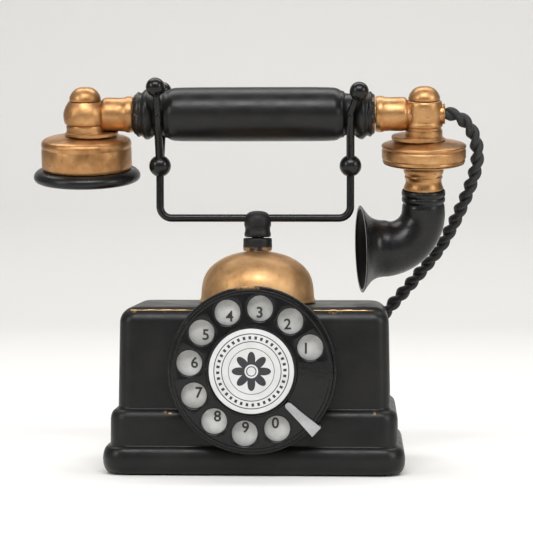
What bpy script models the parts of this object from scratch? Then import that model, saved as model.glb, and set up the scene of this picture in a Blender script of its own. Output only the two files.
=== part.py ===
"""A rotary desk telephone: stepped casing, bell on top, sprung cradle with horns, dial, and a horn-mouthed handset.

Lengths are in millimetres and are turned into metres where a mesh is made. X runs along the handset, the dial
faces -Y and +Z is up. The origin is the middle of the felt pad's underside, on the surface the telephone stands on.
"""

import math

import bmesh
import bpy
from mathutils import Matrix, Vector

MM = 0.001
GAP = 0.3                       # clearance between faces that touch
RUNNING_GAP = 0.4               # clearance round a part that turns or slides

# Casing
SKIRT_HALF_X, SKIRT_HALF_Y = 76.0, 52.0
SKIRT_TOP, STEP_TOP = 14.4, 32.8
STEP_INSET, BOX_INSET = 3.6, 7.4        # how far the middle step and the upper box stand in from the skirt
BOX_DRAFT = 0.8
CASING_BOTTOM, CASING_TOP = 1.0, 84.0
TOP_ROUND = 8.0
CORNER_RADIUS = 11.5
WALL = 3.6
TOP_WALL = 4.0
PILLAR_X, PILLAR_Y, PILLAR_R = SKIRT_HALF_X - 11.0, SKIRT_HALF_Y - 11.0, 4.6

# Underside
FELT_TOP = 2.0
PLATE_BOTTOM = FELT_TOP + GAP
PLATE_TOP = PLATE_BOTTOM + 3.0
SCREW_R, SCREW_HEAD_R, SCREW_HEAD_BOTTOM, SCREW_TOP = 1.6, 3.4, 0.6, 11.0

# Bell, cradle post and cradle
GONG_R, GONG_TOP, GONG_THICK = 29.2, 111.0, 1.6
TUBE_R, STEM_R = 5.6, 3.2
COLLAR_R, COLLAR_HEIGHT = 7.5, 6.7
HEAD_R = 6.9
CRADLE_TRAVEL = 6.0
STEM_BOTTOM = 64.0
STEM_FOOT_R = 7.5
BAR_Z, ROD_R, BAR_BEND = 128.3, 2.0, 6.0
LEFT_FORK_X, RIGHT_FORK_X = -50.9, 48.2
FORK_BALL_Z, FORK_BALL_R = 155.4, 5.7
LEFT_HORN_Z, RIGHT_HORN_Z, HORN_BALL_R = 195.4, 193.0, 4.9
LEFT_LEAN, RIGHT_LEAN = -0.6, 4.5         # how far the tips of the horns stand outside the forks

# Handset
HANDLE_Z = 182.2
HANDSET_X = -1.8                # the handset sits a little to the left of the middle
HANDSET_ROLL = math.radians(11.0)
CUP_X = 88.05                   # from the handle's middle to the receiver's and the transmitter's axes
GRIP_HALF, GRIP_R, NECK_R, BEAD_R, GRIP_END_R = 62.6, 14.0, 10.8, 13.1, 9.5
GRIP_BORE = 5.4
ARM_R = 9.0
BOSS_R = 11.6
TRANSMITTER_BOSS_R = 9.6
FINIAL_R = 8.0
CUP_R, CUP_TOP, CUP_BOTTOM = 23.5, -13.2, -28.4
EAR_CAP_R, EAR_CAP_BOTTOM = 28.0, -35.2
DISC_R, DISC_TOP, DISC_BOTTOM = 22.0, -15.6, -25.0
HORN_NECK_TOP, HORN_NECK_BOTTOM, HORN_NECK_R = -28.4, -39.6, 10.3
HORN_COLLAR_R = 11.2
HORN_BEND_Z, HORN_BEND_R, HORN_TUBE_R, HORN_MOUTH_R = -51.3, 19.3, 14.8, 22.8
HORN_MOUTH_X = 32.9             # how far the mouth stands from the transmitter's axis
HORN_WALL = 1.8
HORN_YAW = math.radians(8.0)

# Dial: distances forward of the telephone's middle, along -Y
DIAL_Z = 53.5
WHEEL_R, WHEEL_BACK, WHEEL_FRONT = 40.2, SKIRT_HALF_Y + 6.6, SKIRT_HALF_Y + 8.6
HOLE_R, HOLE_CIRCLE_R, HOLE_COUNT, HOLE_PITCH = 6.35, 31.1, 10, 30.2
FIRST_HOLE_ANGLE = 22.0
STOP_ANGLE = -43.0
CASE_R, CASE_BACK = 41.7, SKIRT_HALF_Y + 1.3
CASE_FLOOR, CASE_RIM = SKIRT_HALF_Y + 3.5, SKIRT_HALF_Y + 5.6
HUB_R, HUB_BACK, SPIGOT_R, SPIGOT_BACK = 30.0, SKIRT_HALF_Y - 2.7, 21.0, SKIRT_HALF_Y - 14.0
SPINDLE_R = 3.0
CARD_R = 21.0
FRAME_FRONT, FRAME_BACK = SPIGOT_BACK - GAP, SPIGOT_BACK - 2.4
BRIDGE_FRONT, BRIDGE_BACK = SPIGOT_BACK - 25.0, SPIGOT_BACK - 27.0
GEAR_MODULE, GEAR_TEETH, PINION_TEETH = 0.6, 50, 10
GEAR_FRONT, GEAR_BACK = SPIGOT_BACK - 4.6, SPIGOT_BACK - 7.0
GOVERNOR_X = -GEAR_MODULE * (GEAR_TEETH + PINION_TEETH) / 2

# Handset cord: its diameter, and the points that it passes through on the way from handset to casing
CORD_R = 3.75
GLAND_X, GLAND_Y, GLAND_TOP = SKIRT_HALF_X - 16.0, SKIRT_HALF_Y - 0.3, 60.0
BUSH_X = HANDSET_X + CUP_X
CORD_ROUTE = (
    (BUSH_X + 10.0, 0.0, HANDLE_Z), (BUSH_X + 14.4, 0.2, HANDLE_Z - 0.2), (BUSH_X + 19.9, 1.5, HANDLE_Z - 2.9),
    (BUSH_X + 24.4, 3.5, HANDLE_Z - 8.1), (BUSH_X + 27.1, 6.0, HANDLE_Z - 14.7), (BUSH_X + 28.0, 9.0, 160.2),
    (BUSH_X + 26.8, 12.5, 152.1), (BUSH_X + 23.9, 17.0, 143.0), (106.5, GLAND_Y - 29.7, 133.8),
    (102.4, GLAND_Y - 24.2, 124.5), (97.4, GLAND_Y - 18.7, 115.0), (91.3, GLAND_Y - 13.2, 106.0),
    (84.2, GLAND_Y - 8.2, 97.0), (76.8, GLAND_Y - 4.4, 88.0), (69.0, GLAND_Y - 1.5, 79.0),
    (GLAND_X + 2.8, GLAND_Y - 0.2, 71.0), (GLAND_X, GLAND_Y, 63.0), (GLAND_X, GLAND_Y, 57.5), (GLAND_X, GLAND_Y, 52.0),
)

FINE, MEDIUM, COARSE, SMALL = 22, 14, 10, 8     # sides round a turned part


# ---------------------------------------------------------------- scene and materials
for existing in list(bpy.data.objects):
    bpy.data.objects.remove(existing)


def material(name, colour, roughness, metallic):
    made = bpy.data.materials.new(name)
    made.use_nodes = True
    shader = made.node_tree.nodes["Principled BSDF"]
    shader.inputs["Base Color"].default_value = (*colour, 1.0)
    shader.inputs["Roughness"].default_value = roughness
    shader.inputs["Metallic"].default_value = metallic
    return made


BLACK_PAINT = material("black_paint", (0.018, 0.018, 0.018), 0.42, 0.0)
GLOSS_BLACK = material("gloss_black", (0.012, 0.012, 0.012), 0.2, 0.0)
BRONZE = material("bronze", (0.50, 0.27, 0.11), 0.38, 1.0)
BRASS = material("brass", (0.70, 0.50, 0.22), 0.35, 1.0)
STEEL = material("steel", (0.55, 0.55, 0.56), 0.35, 1.0)
SILVER = material("silver", (0.72, 0.72, 0.74), 0.45, 0.6)
CARD = material("card", (0.85, 0.85, 0.83), 0.7, 0.0)
FELT = material("felt", (0.05, 0.09, 0.06), 0.95, 0.0)
COPPER = material("copper", (0.60, 0.26, 0.14), 0.4, 1.0)
INSULATION = material("insulation", (0.20, 0.09, 0.04), 0.6, 0.0)
CORD_BLACK = material("cord_black", (0.012, 0.012, 0.012), 0.7, 0.0)


# ---------------------------------------------------------------- shape helpers
def mesh_from(bm, name):
    bmesh.ops.recalc_face_normals(bm, faces=bm.faces)
    mesh = bpy.data.meshes.new(name)
    bm.to_mesh(mesh)
    bm.free()
    return mesh


def node(name, bm, look, matrix=None, parent=None):
    """A named part from a bmesh in metres, placed by a matrix whose offset is in millimetres."""
    mesh = mesh_from(bm, name)
    made = bpy.data.objects.new(name, mesh)
    bpy.context.scene.collection.objects.link(made)
    made.data.materials.append(look)
    mesh.shade_smooth()
    mesh.set_sharp_from_angle(angle=math.radians(32))
    if matrix is not None:
        place = matrix.copy()
        place.translation = place.translation * MM
        made.matrix_world = place
    made.parent = parent
    return made


def ring_of(bm, points):
    return [bm.verts.new(Vector(point) * MM) for point in points]


def skin(bm, rings, closed_rings=True, wrap=False):
    """Side faces between rings of equal length; wrap joins the last ring back to the first."""
    pairs = list(zip(rings, rings[1:]))
    if wrap:
        pairs.append((rings[-1], rings[0]))
    for lower, upper in pairs:
        count = len(lower)
        for i in range(count if closed_rings else count - 1):
            j = (i + 1) % count
            corners = [lower[i], lower[j], upper[j], upper[i]]
            unique = list(dict.fromkeys(corners))
            if len(unique) > 2:
                bm.faces.new(unique)


def turned(profile, sides, axis="Z"):
    """A closed (radius, height) outline turned about Z, or with its height along -Y or +X."""
    bm = bmesh.new()
    rings = []
    for radius, height in profile:
        if radius < 1e-6:
            rings.append([bm.verts.new((0.0, 0.0, height * MM))] * sides)
            continue
        angles = [2 * math.pi * i / sides for i in range(sides)]
        rings.append(ring_of(bm, [(radius * math.cos(a), radius * math.sin(a), height) for a in angles]))
    on_axis = profile[0][0] < 1e-6 and profile[-1][0] < 1e-6
    skin(bm, rings, wrap=not on_axis)
    if axis == "-Y":
        bm.transform(Matrix.Rotation(math.radians(90), 4, "X"))
    if axis == "X":
        bm.transform(Matrix.Rotation(math.radians(90), 4, "Y"))
    return bm


def tube(inner, outer, bottom, top, sides, axis="Z"):
    return turned([(inner, bottom), (outer, bottom), (outer, top), (inner, top)], sides, axis)


def rod(radius, bottom, top, sides, axis="Z"):
    return turned([(0, bottom), (radius, bottom), (radius, top), (0, top)], sides, axis)


def prism(outline, bottom, top, axis="Z"):
    """An outline of (x, y) points raised along Z; axis X reads it as (y, z) and -Y as (x, z)."""
    bm = bmesh.new()
    lower = ring_of(bm, [(x, y, bottom) for x, y in outline])
    upper = ring_of(bm, [(x, y, top) for x, y in outline])
    skin(bm, [lower, upper])
    bm.faces.new(lower[::-1])
    bm.faces.new(upper)
    if axis == "X":
        bm.transform(Matrix(((0, 0, 1, 0), (1, 0, 0, 0), (0, 1, 0, 0), (0, 0, 0, 1))))
    if axis == "-Y":
        bm.transform(Matrix.Rotation(math.radians(90), 4, "X"))
    return bm


def box(x0, x1, y0, y1, z0, z1):
    return prism([(x0, y0), (x1, y0), (x1, y1), (x0, y1)], z0, z1)


def rounded(half_x, half_y, radius, steps=3):
    """A rectangle with round corners, as a list of points."""
    points = []
    for quarter, (sx, sy) in enumerate(((1, 1), (-1, 1), (-1, -1), (1, -1))):
        for i in range(steps + 1):
            angle = math.pi / 2 * (quarter + i / steps)
            points.append((sx * (half_x - radius) + radius * math.cos(angle),
                           sy * (half_y - radius) + radius * math.sin(angle)))
    return points


def ball(radius, centre, sides=12):
    bm = bmesh.new()
    bmesh.ops.create_uvsphere(bm, u_segments=sides, v_segments=sides * 5 // 8, radius=radius * MM)
    bm.transform(Matrix.Translation(Vector(centre) * MM))
    return bm


def curve_through(points, per_span):
    """A Catmull-Rom curve through the points, with per_span points to each span."""
    dots = [Vector(p) for p in points]
    dots = [2 * dots[0] - dots[1]] + dots + [2 * dots[-1] - dots[-2]]
    line = []
    for a, b, c, d in zip(dots, dots[1:], dots[2:], dots[3:]):
        for i in range(per_span):
            t = i / per_span
            line.append(0.5 * (2 * b + (c - a) * t + (2 * a - 5 * b + 4 * c - d) * t * t
                               + (3 * b - a - 3 * c + d) * t * t * t))
    return line + [dots[-2]]


def swept(line, radii, sides):
    """A round bar along a line of points, with one radius or a radius for each point."""
    line = [Vector(p) for p in line]
    radii = [radii] * len(line) if isinstance(radii, (int, float)) else radii
    bm = bmesh.new()
    rings, side = [], None
    for i, point in enumerate(line):
        ahead = (line[min(i + 1, len(line) - 1)] - line[max(i - 1, 0)]).normalized()
        start = side or (Vector((0, 1, 0)) if abs(ahead.y) < 0.9 else Vector((1, 0, 0)))
        side = (start - ahead * start.dot(ahead)).normalized()
        up = ahead.cross(side)
        angles = [2 * math.pi * k / sides for k in range(sides)]
        rings.append(ring_of(bm, [point + radii[i] * (side * math.cos(a) + up * math.sin(a)) for a in angles]))
    skin(bm, rings)
    bm.faces.new(rings[0][::-1])
    bm.faces.new(rings[-1])
    return bm


def combined(first, *others):
    """The first bmesh joined with, or cut by, the others. Each other is (operation, bmesh)."""
    base = bpy.data.objects.new("work", mesh_from(first, "work"))
    bpy.context.scene.collection.objects.link(base)
    tools = []
    for operation, bm in others:
        tool = bpy.data.objects.new("tool", mesh_from(bm, "tool"))
        bpy.context.scene.collection.objects.link(tool)
        tools.append(tool)
        step = base.modifiers.new(operation.lower(), "BOOLEAN")
        step.operation = operation
        step.object = tool
    bpy.context.view_layer.update()
    result = bmesh.new()
    result.from_mesh(base.evaluated_get(bpy.context.evaluated_depsgraph_get()).to_mesh())
    for spent in [base, *tools]:
        bpy.data.objects.remove(spent)
    return result


def shifted(bm, x=0.0, y=0.0, z=0.0):
    bm.transform(Matrix.Translation(Vector((x, y, z)) * MM))
    return bm


JOIN, CUT = "UNION", "DIFFERENCE"


# ---------------------------------------------------------------- casing
def casing_ring(bm, inset, z, radius=None):
    radius = max(2.0, CORNER_RADIUS - 0.45 * inset) if radius is None else radius
    return ring_of(bm, [(x, y, z) for x, y in rounded(SKIRT_HALF_X - inset, SKIRT_HALF_Y - inset, radius)])


def make_casing():
    round_start = CASING_TOP - TOP_ROUND
    box_top_inset = BOX_INSET + BOX_DRAFT
    outer = [
        (2.3, CASING_BOTTOM), (0.9, 3.2), (0.0, 8.0), (0.4, 11.2), (1.5, SKIRT_TOP - 1.0), (STEP_INSET - 0.4, SKIRT_TOP),
        (STEP_INSET, SKIRT_TOP + 0.6), (STEP_INSET + 0.2, STEP_TOP - 4.2), (STEP_INSET + 0.9, STEP_TOP - 1.9),
        (STEP_INSET + 2.3, STEP_TOP - 0.5), (BOX_INSET - 0.4, STEP_TOP), (BOX_INSET, STEP_TOP + 0.6),
        (box_top_inset, round_start),
    ]
    for i in range(1, 5):
        turn = math.pi / 2 * i / 4
        outer.append((box_top_inset + TOP_ROUND * (1 - math.cos(turn)), round_start + TOP_ROUND * math.sin(turn)))
    inner_top = CASING_TOP - TOP_WALL
    inner = [
        (WALL + 1.4, CASING_BOTTOM), (WALL + 1.4, SKIRT_TOP - 3.6), (STEP_INSET + WALL + 0.4, SKIRT_TOP - 0.6),
        (STEP_INSET + WALL + 0.4, STEP_TOP - 5.0), (BOX_INSET + WALL, STEP_TOP - 1.4),
        (box_top_inset + WALL, round_start), (box_top_inset + WALL + 4.4, inner_top),
    ]
    bm = bmesh.new()
    outside = [casing_ring(bm, *level) for level in outer]
    inside = [casing_ring(bm, *level) for level in inner]
    skin(bm, outside)
    skin(bm, inside)
    skin(bm, [inside[0], outside[0]])
    bm.faces.new(outside[-1])
    bm.faces.new(inside[-1][::-1])
    back = SKIRT_HALF_Y
    steps = [(JOIN, shifted(rod(PILLAR_R, PLATE_TOP + GAP, 17.0, SMALL), sx * PILLAR_X, sy * PILLAR_Y))
             for sx in (-1, 1) for sy in (-1, 1)]
    steps += [(CUT, shifted(rod(SCREW_R + GAP, 0.0, SCREW_TOP + 1.0, SMALL), sx * PILLAR_X, sy * PILLAR_Y))
              for sx in (-1, 1) for sy in (-1, 1)]
    steps += [
        (CUT, shifted(rod(SPIGOT_R + RUNNING_GAP, 30.0, back + 10.0, FINE, "-Y"), z=DIAL_Z)),
        (CUT, rod(TUBE_R + GAP, inner_top - 5.0, CASING_TOP + 5.0, COARSE)),
        (CUT, shifted(rod(CLAPPER_SLOT_R, inner_top - 5.0, CASING_TOP + 5.0, SMALL), CLAPPER_X, CLAPPER_Y)),
        (CUT, shifted(rod(GLAND_SPIGOT_R + GAP, -back - 5.0, -30.0, SMALL, "-Y"), GLAND_X, 0, GLAND_SPIGOT_Z)),
        (CUT, shifted(rod(INLET_R + GAP, -back - 5.0, -30.0, SMALL, "-Y"), INLET_X, 0, INLET_Z)),
    ]
    node("casing", combined(bm, *steps), BLACK_PAINT)


# The gland's spigot, the line inlet and the clapper's slot
GLAND_SPIGOT_R, GLAND_SPIGOT_Z = 4.0, 50.0
INLET_R, INLET_X, INLET_Z = 4.5, -48.0, 22.5
CLAPPER_X, CLAPPER_Y, CLAPPER_Z, CLAPPER_SLOT_R = 19.0, 12.0, 92.0, 4.4


def make_underside():
    plate = rounded(SKIRT_HALF_X - WALL - 1.4 - 0.5, SKIRT_HALF_Y - WALL - 1.4 - 0.5, CORNER_RADIUS - 2.0)
    corners = [(sx * PILLAR_X, sy * PILLAR_Y) for sx in (-1, 1) for sy in (-1, 1)]
    holes = [(CUT, shifted(rod(SCREW_R + GAP, -1.0, 10.0, SMALL), x, y)) for x, y in corners]
    node("base_plate", combined(prism(plate, PLATE_BOTTOM, PLATE_TOP), *holes), STEEL)
    wells = [(CUT, shifted(rod(SCREW_HEAD_R + 0.6, -1.0, 10.0, SMALL), x, y)) for x, y in corners]
    node("felt_pad", combined(prism(plate, 0.0, FELT_TOP), *wells), FELT)
    profile = [(0, SCREW_HEAD_BOTTOM), (SCREW_HEAD_R - 0.6, SCREW_HEAD_BOTTOM), (SCREW_HEAD_R, SCREW_HEAD_BOTTOM + 0.5),
               (SCREW_HEAD_R, FELT_TOP), (SCREW_R, FELT_TOP), (SCREW_R, SCREW_TOP), (0, SCREW_TOP)]
    for number, (x, y) in enumerate(corners, 1):
        node(f"base_screw_{number}", turned(profile, SMALL), STEEL, Matrix.Translation((x, y, 0)))


# ---------------------------------------------------------------- bell and cradle
def make_bell():
    outer = [(30.1, 84.7), (30.1, 85.6), (29.4, 87.0), (GONG_R, 91.5), (28.3, 96.0), (26.2, 99.9), (23.0, 103.6),
             (18.4, 107.0), (13.0, 109.4), (8.0, 110.7), (TUBE_R + GAP, GONG_TOP)]
    inner = [(max(r - GONG_THICK, TUBE_R + GAP), z - (GONG_THICK if r < 24 else 0.6)) for r, z in outer[2:]]
    inner = [(30.1 - GONG_THICK - 0.4, 84.7)] + inner
    node("gong", turned(outer + inner[::-1], FINE), BRONZE)
    crown = GONG_TOP - GONG_THICK - 3 * GAP
    flange_top = CASING_TOP - TOP_WALL - GAP
    bore = STEM_R + RUNNING_GAP
    node("guide_tube", turned([
        (bore, flange_top - 6.0), (TUBE_R, flange_top - 6.0), (TUBE_R, flange_top - 2.5), (10.0, flange_top - 2.5),
        (10.0, flange_top), (TUBE_R, flange_top), (TUBE_R, crown - 2.2), (8.2, crown - 2.2), (8.2, crown),
        (TUBE_R, crown), (TUBE_R, GONG_TOP + COLLAR_HEIGHT), (bore, GONG_TOP + COLLAR_HEIGHT)], COARSE), STEEL)
    hexagon = [(9.5 * math.cos(math.pi / 3 * i), 9.5 * math.sin(math.pi / 3 * i)) for i in range(6)]
    node("post_nut", combined(prism(hexagon, CASING_TOP + GAP, CASING_TOP + 4.0),
                              (CUT, rod(TUBE_R + GAP, 80, 92, COARSE))), STEEL)
    low, high = GONG_TOP + GAP, GONG_TOP + COLLAR_HEIGHT + 0.3
    node("gong_collar", turned([
        (TUBE_R + GAP, low), (COLLAR_R - 0.5, low), (COLLAR_R, low + 0.7), (COLLAR_R, high - 1.0),
        (COLLAR_R - 0.9, high), (TUBE_R + GAP, high)], COARSE), BLACK_PAINT)


def fork(side):
    """Ball, two horns that curve up either side of the handle's neck, and the ball on each horn."""
    x = LEFT_FORK_X if side < 0 else RIGHT_FORK_X
    lean_out = LEFT_LEAN if side < 0 else RIGHT_LEAN
    ball_z = LEFT_HORN_Z if side < 0 else RIGHT_HORN_Z
    reach = NECK_R + GAP + 0.1 + ROD_R
    tangent_drop = HANDLE_Z - (FORK_BALL_Z + 4.0)
    lean = math.asin(reach / tangent_drop)
    pieces = []
    for face in (-1, 1):
        top = Vector((x + lean_out, face * (BEAD_R + HORN_BALL_R + 0.7), ball_z))
        arc = [Vector((x, 0, FORK_BALL_Z + 2.0))]
        for i in range(5):
            turn = math.pi / 2 - lean + lean * i / 4
            arc.append(Vector((x, face * reach * math.sin(turn), HANDLE_Z - reach * math.cos(turn))))
        arc += [arc[-1].lerp(top, 0.5) + Vector((0, -face * 0.5, 0.4)), top]
        pieces.append((JOIN, swept(arc, [ROD_R * 1.1] + [ROD_R * 0.95] * (len(arc) - 1), 8)))
        pieces.append((JOIN, ball(HORN_BALL_R, top)))
    socket = rod(ROD_R + 0.5, FORK_BALL_Z - 8.0, FORK_BALL_Z - 1.0, SMALL)
    pieces.append((CUT, shifted(socket, x)))
    return combined(ball(FORK_BALL_R, (x, 0, FORK_BALL_Z), 14), *pieces)


def make_cradle():
    bends = []
    for x in (LEFT_FORK_X, RIGHT_FORK_X):
        inward = math.copysign(BAR_BEND, x)
        corner = [Vector((x - inward * (1 - math.sin(a)), 0, BAR_Z + BAR_BEND * (1 - math.cos(a))))
                  for a in (math.pi / 2 * i / 5 for i in range(6))]
        bends.append(corner + [Vector((x, 0, FORK_BALL_Z - 1.4))])
    line = bends[0][::-1] + [Vector((0, 0, BAR_Z))] + bends[1]
    node("cradle_bar", swept(line, ROD_R, 10), GLOSS_BLACK)
    node("left_fork", fork(-1), GLOSS_BLACK)
    node("right_fork", fork(1), GLOSS_BLACK)
    seat = GONG_TOP + COLLAR_HEIGHT + 0.7
    stem = turned([
        (0, STEM_BOTTOM), (STEM_FOOT_R, STEM_BOTTOM), (STEM_FOOT_R, STEM_BOTTOM + 2.0), (STEM_R, STEM_BOTTOM + 2.0),
        (STEM_R, seat), (HEAD_R - 0.7, seat), (HEAD_R, seat + 1.2), (HEAD_R - 0.2, seat + 3.6),
        (HEAD_R, BAR_Z - 3.4), (HEAD_R, BAR_Z - 1.4), (HEAD_R - 0.9, BAR_Z + 1.2), (HEAD_R - 3.0, BAR_Z + 3.0), (0, BAR_Z + 3.6)], COARSE)
    bore = rod(ROD_R + 0.5, -12.0, 12.0, SMALL, "X")
    node("cradle_stem", combined(stem, (CUT, shifted(bore, z=BAR_Z))), BLACK_PAINT)


# ---------------------------------------------------------------- hook switch
LEVER_PIVOT_Y, LEVER_PIVOT_Z, LEVER_TIP_Y = 20.0, 60.0, 7.0
PIN_R = 1.4
SHELF_TOP = 49.0


def make_hook_switch():
    outline = [(24, PLATE_TOP + GAP), (24, PLATE_TOP + 2.3), (12, PLATE_TOP + 2.3), (12, SHELF_TOP), (-7, SHELF_TOP),
               (-7, SHELF_TOP - 2.0), (10, SHELF_TOP - 2.0), (10, PLATE_TOP + GAP)]
    ear = [(10.5, SHELF_TOP - 6.0), (17, SHELF_TOP - 6.0), (23.5, LEVER_PIVOT_Z - 3.0), (23.5, LEVER_PIVOT_Z + 3.5),
           (17.0, LEVER_PIVOT_Z + 3.5), (11.0, SHELF_TOP - 0.5)]
    steps = [(JOIN, prism(ear, x, x + 1.8, "X")) for x in (-7.0, 5.2)]
    pin_bore = rod(PIN_R + RUNNING_GAP, -12.0, 12.0, SMALL, "X")
    steps.append((CUT, shifted(pin_bore, y=LEVER_PIVOT_Y, z=LEVER_PIVOT_Z)))
    node("hook_bracket", combined(prism(outline, -9.0, 9.0, "X"), *steps), STEEL)
    node("hook_pin", rod(PIN_R, -8.0, 8.0, SMALL, "X"), STEEL,
         Matrix.Translation((0, LEVER_PIVOT_Y, LEVER_PIVOT_Z)))
    tip = [(LEVER_TIP_Y - LEVER_PIVOT_Y - 1.0, 2.4), (LEVER_TIP_Y - LEVER_PIVOT_Y, 3.4),
           (LEVER_TIP_Y - LEVER_PIVOT_Y + 1.5, 3.4), (-6.0, 1.5), (-2.0, 3.0), (2.5, 3.0), (3.0, -2.0), (2.0, -15.0),
           (0.0, -15.0), (-1.0, -3.0), (-6.0, -1.0)]
    lever = combined(prism(tip, -3.5, 3.5, "X"), (CUT, rod(PIN_R + RUNNING_GAP, -6.0, 6.0, SMALL, "X")))
    node("hook_lever", lever, BRASS, Matrix.Translation((0, LEVER_PIVOT_Y, LEVER_PIVOT_Z)))
    block = box(-6.0, 6.0, 22.6, 30.0, 26.0, 34.0)
    leaves = [(JOIN, box(-2.5, 2.5, y, y + 0.6, 30.0, top)) for y, top in ((23.4, 52.0), (26.0, 50.0), (28.6, 48.0))]
    foot = (JOIN, box(-4.0, 4.0, 24.6, 27.0, PLATE_TOP + GAP, 27.0))
    node("hook_contacts", combined(block, foot, *leaves), BRASS)
    low, high, coil_r, wire_r, turns = SHELF_TOP + 0.9, STEM_BOTTOM - 0.9, 4.4, 0.5, 4
    count = turns * 8
    line = [Vector((coil_r * math.cos(2 * math.pi * i / 8), coil_r * math.sin(2 * math.pi * i / 8),
                    low + (high - low) * i / count)) for i in range(count + 1)]
    node("cradle_spring", swept(line, wire_r, 5), STEEL)


# ---------------------------------------------------------------- dial
def hole_angle(number):
    return math.radians(FIRST_HOLE_ANGLE + HOLE_PITCH * number)


def make_dial_front():
    at_dial = Matrix.Translation((0, 0, DIAL_Z))
    bore = SPINDLE_R + RUNNING_GAP
    node("dial_case", turned([
        (bore, CASE_FLOOR), (CASE_R - 2.0, CASE_FLOOR), (CASE_R - 2.0, CASE_RIM), (CASE_R - 0.4, CASE_RIM),
        (CASE_R, CASE_RIM - 0.5), (CASE_R, CASE_BACK + 0.4), (CASE_R - 0.6, CASE_BACK), (HUB_R, CASE_BACK),
        (HUB_R, HUB_BACK), (SPIGOT_R, HUB_BACK), (SPIGOT_R, SPIGOT_BACK), (SPIGOT_R - 2.5, SPIGOT_BACK),
        (SPIGOT_R - 2.5, CASE_BACK - 1.5), (bore, CASE_BACK - 1.5)], FINE, "-Y"), BLACK_PAINT, at_dial)
    node("number_plate", tube(8.0 + RUNNING_GAP, CASE_R - 2.4, CASE_FLOOR + GAP, CASE_FLOOR + GAP + 0.9, FINE, "-Y"),
         SILVER, at_dial)
    boss_r, boss_front = CARD_R + 1.6, WHEEL_FRONT + 1.6
    wheel = turned([
        (SPINDLE_R + GAP, CASE_FLOOR + 2.0), (8.0, CASE_FLOOR + 2.0), (8.0, WHEEL_BACK), (WHEEL_R - 0.4, WHEEL_BACK),
        (WHEEL_R, WHEEL_BACK + 0.4), (WHEEL_R, WHEEL_FRONT - 0.6), (WHEEL_R - 0.6, WHEEL_FRONT),
        (boss_r, WHEEL_FRONT), (boss_r - 0.4, boss_front), (SPINDLE_R + GAP, boss_front)], FINE, "-Y")
    holes = []
    for number in range(HOLE_COUNT):
        angle = hole_angle(number)
        cutter = rod(HOLE_R, WHEEL_BACK - 3.0, WHEEL_FRONT + 3.0, 12, "-Y")
        holes.append((CUT, shifted(cutter, HOLE_CIRCLE_R * math.cos(angle), 0, HOLE_CIRCLE_R * math.sin(angle))))
    node("finger_wheel", combined(wheel, *holes), GLOSS_BLACK, at_dial)
    node("number_card", rod(CARD_R, boss_front + GAP, boss_front + GAP + 0.6, FINE, "-Y"), CARD, at_dial)
    node("card_bezel", tube(CARD_R + GAP, boss_r, boss_front + GAP, boss_front + 1.2, FINE, "-Y"), GLOSS_BLACK, at_dial)
    node("dial_spindle", rod(SPINDLE_R, BRIDGE_BACK - 2.0, boss_front - 0.2, COARSE, "-Y"), STEEL, at_dial)
    make_finger_stop(at_dial)


def make_finger_stop(at_dial):
    """A tapered strip over the wheel, folded back over the case's edge at its outer end."""
    back, front = WHEEL_FRONT + 1.0, WHEEL_FRONT + 2.2
    inner, outer = CARD_R + 2.8, CASE_R + 2.2
    strip = [(inner, -1.0), (inner + 0.9, -1.6), (outer, -3.2), (outer, 3.2), (inner + 0.9, 1.6), (inner, 1.0)]
    fold = box(CASE_R + GAP, outer, -3.2, 3.2, CASE_BACK + 0.2, back + 0.6)
    bm = combined(prism(strip, back, front), (JOIN, fold))
    bm.transform(Matrix.Rotation(math.radians(90), 4, "X"))
    turn = Matrix.Rotation(-math.radians(STOP_ANGLE), 4, "Y")
    node("finger_stop", bm, SILVER, at_dial @ turn)


def gear_outline(teeth, addendum, dedendum, share):
    """Straight-sided teeth: share is a tooth's width at the pitch circle, as a share of the pitch."""
    pitch_r = GEAR_MODULE * teeth / 2
    pitch = 2 * math.pi / teeth
    points = []
    for i in range(teeth):
        middle = i * pitch
        for radius, offset in ((pitch_r - dedendum, -share * 0.68), (pitch_r + addendum, -share * 0.26),
                               (pitch_r + addendum, share * 0.26), (pitch_r - dedendum, share * 0.68)):
            angle = middle + offset * pitch
            points.append((radius * math.cos(angle), radius * math.sin(angle)))
    return points


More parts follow.
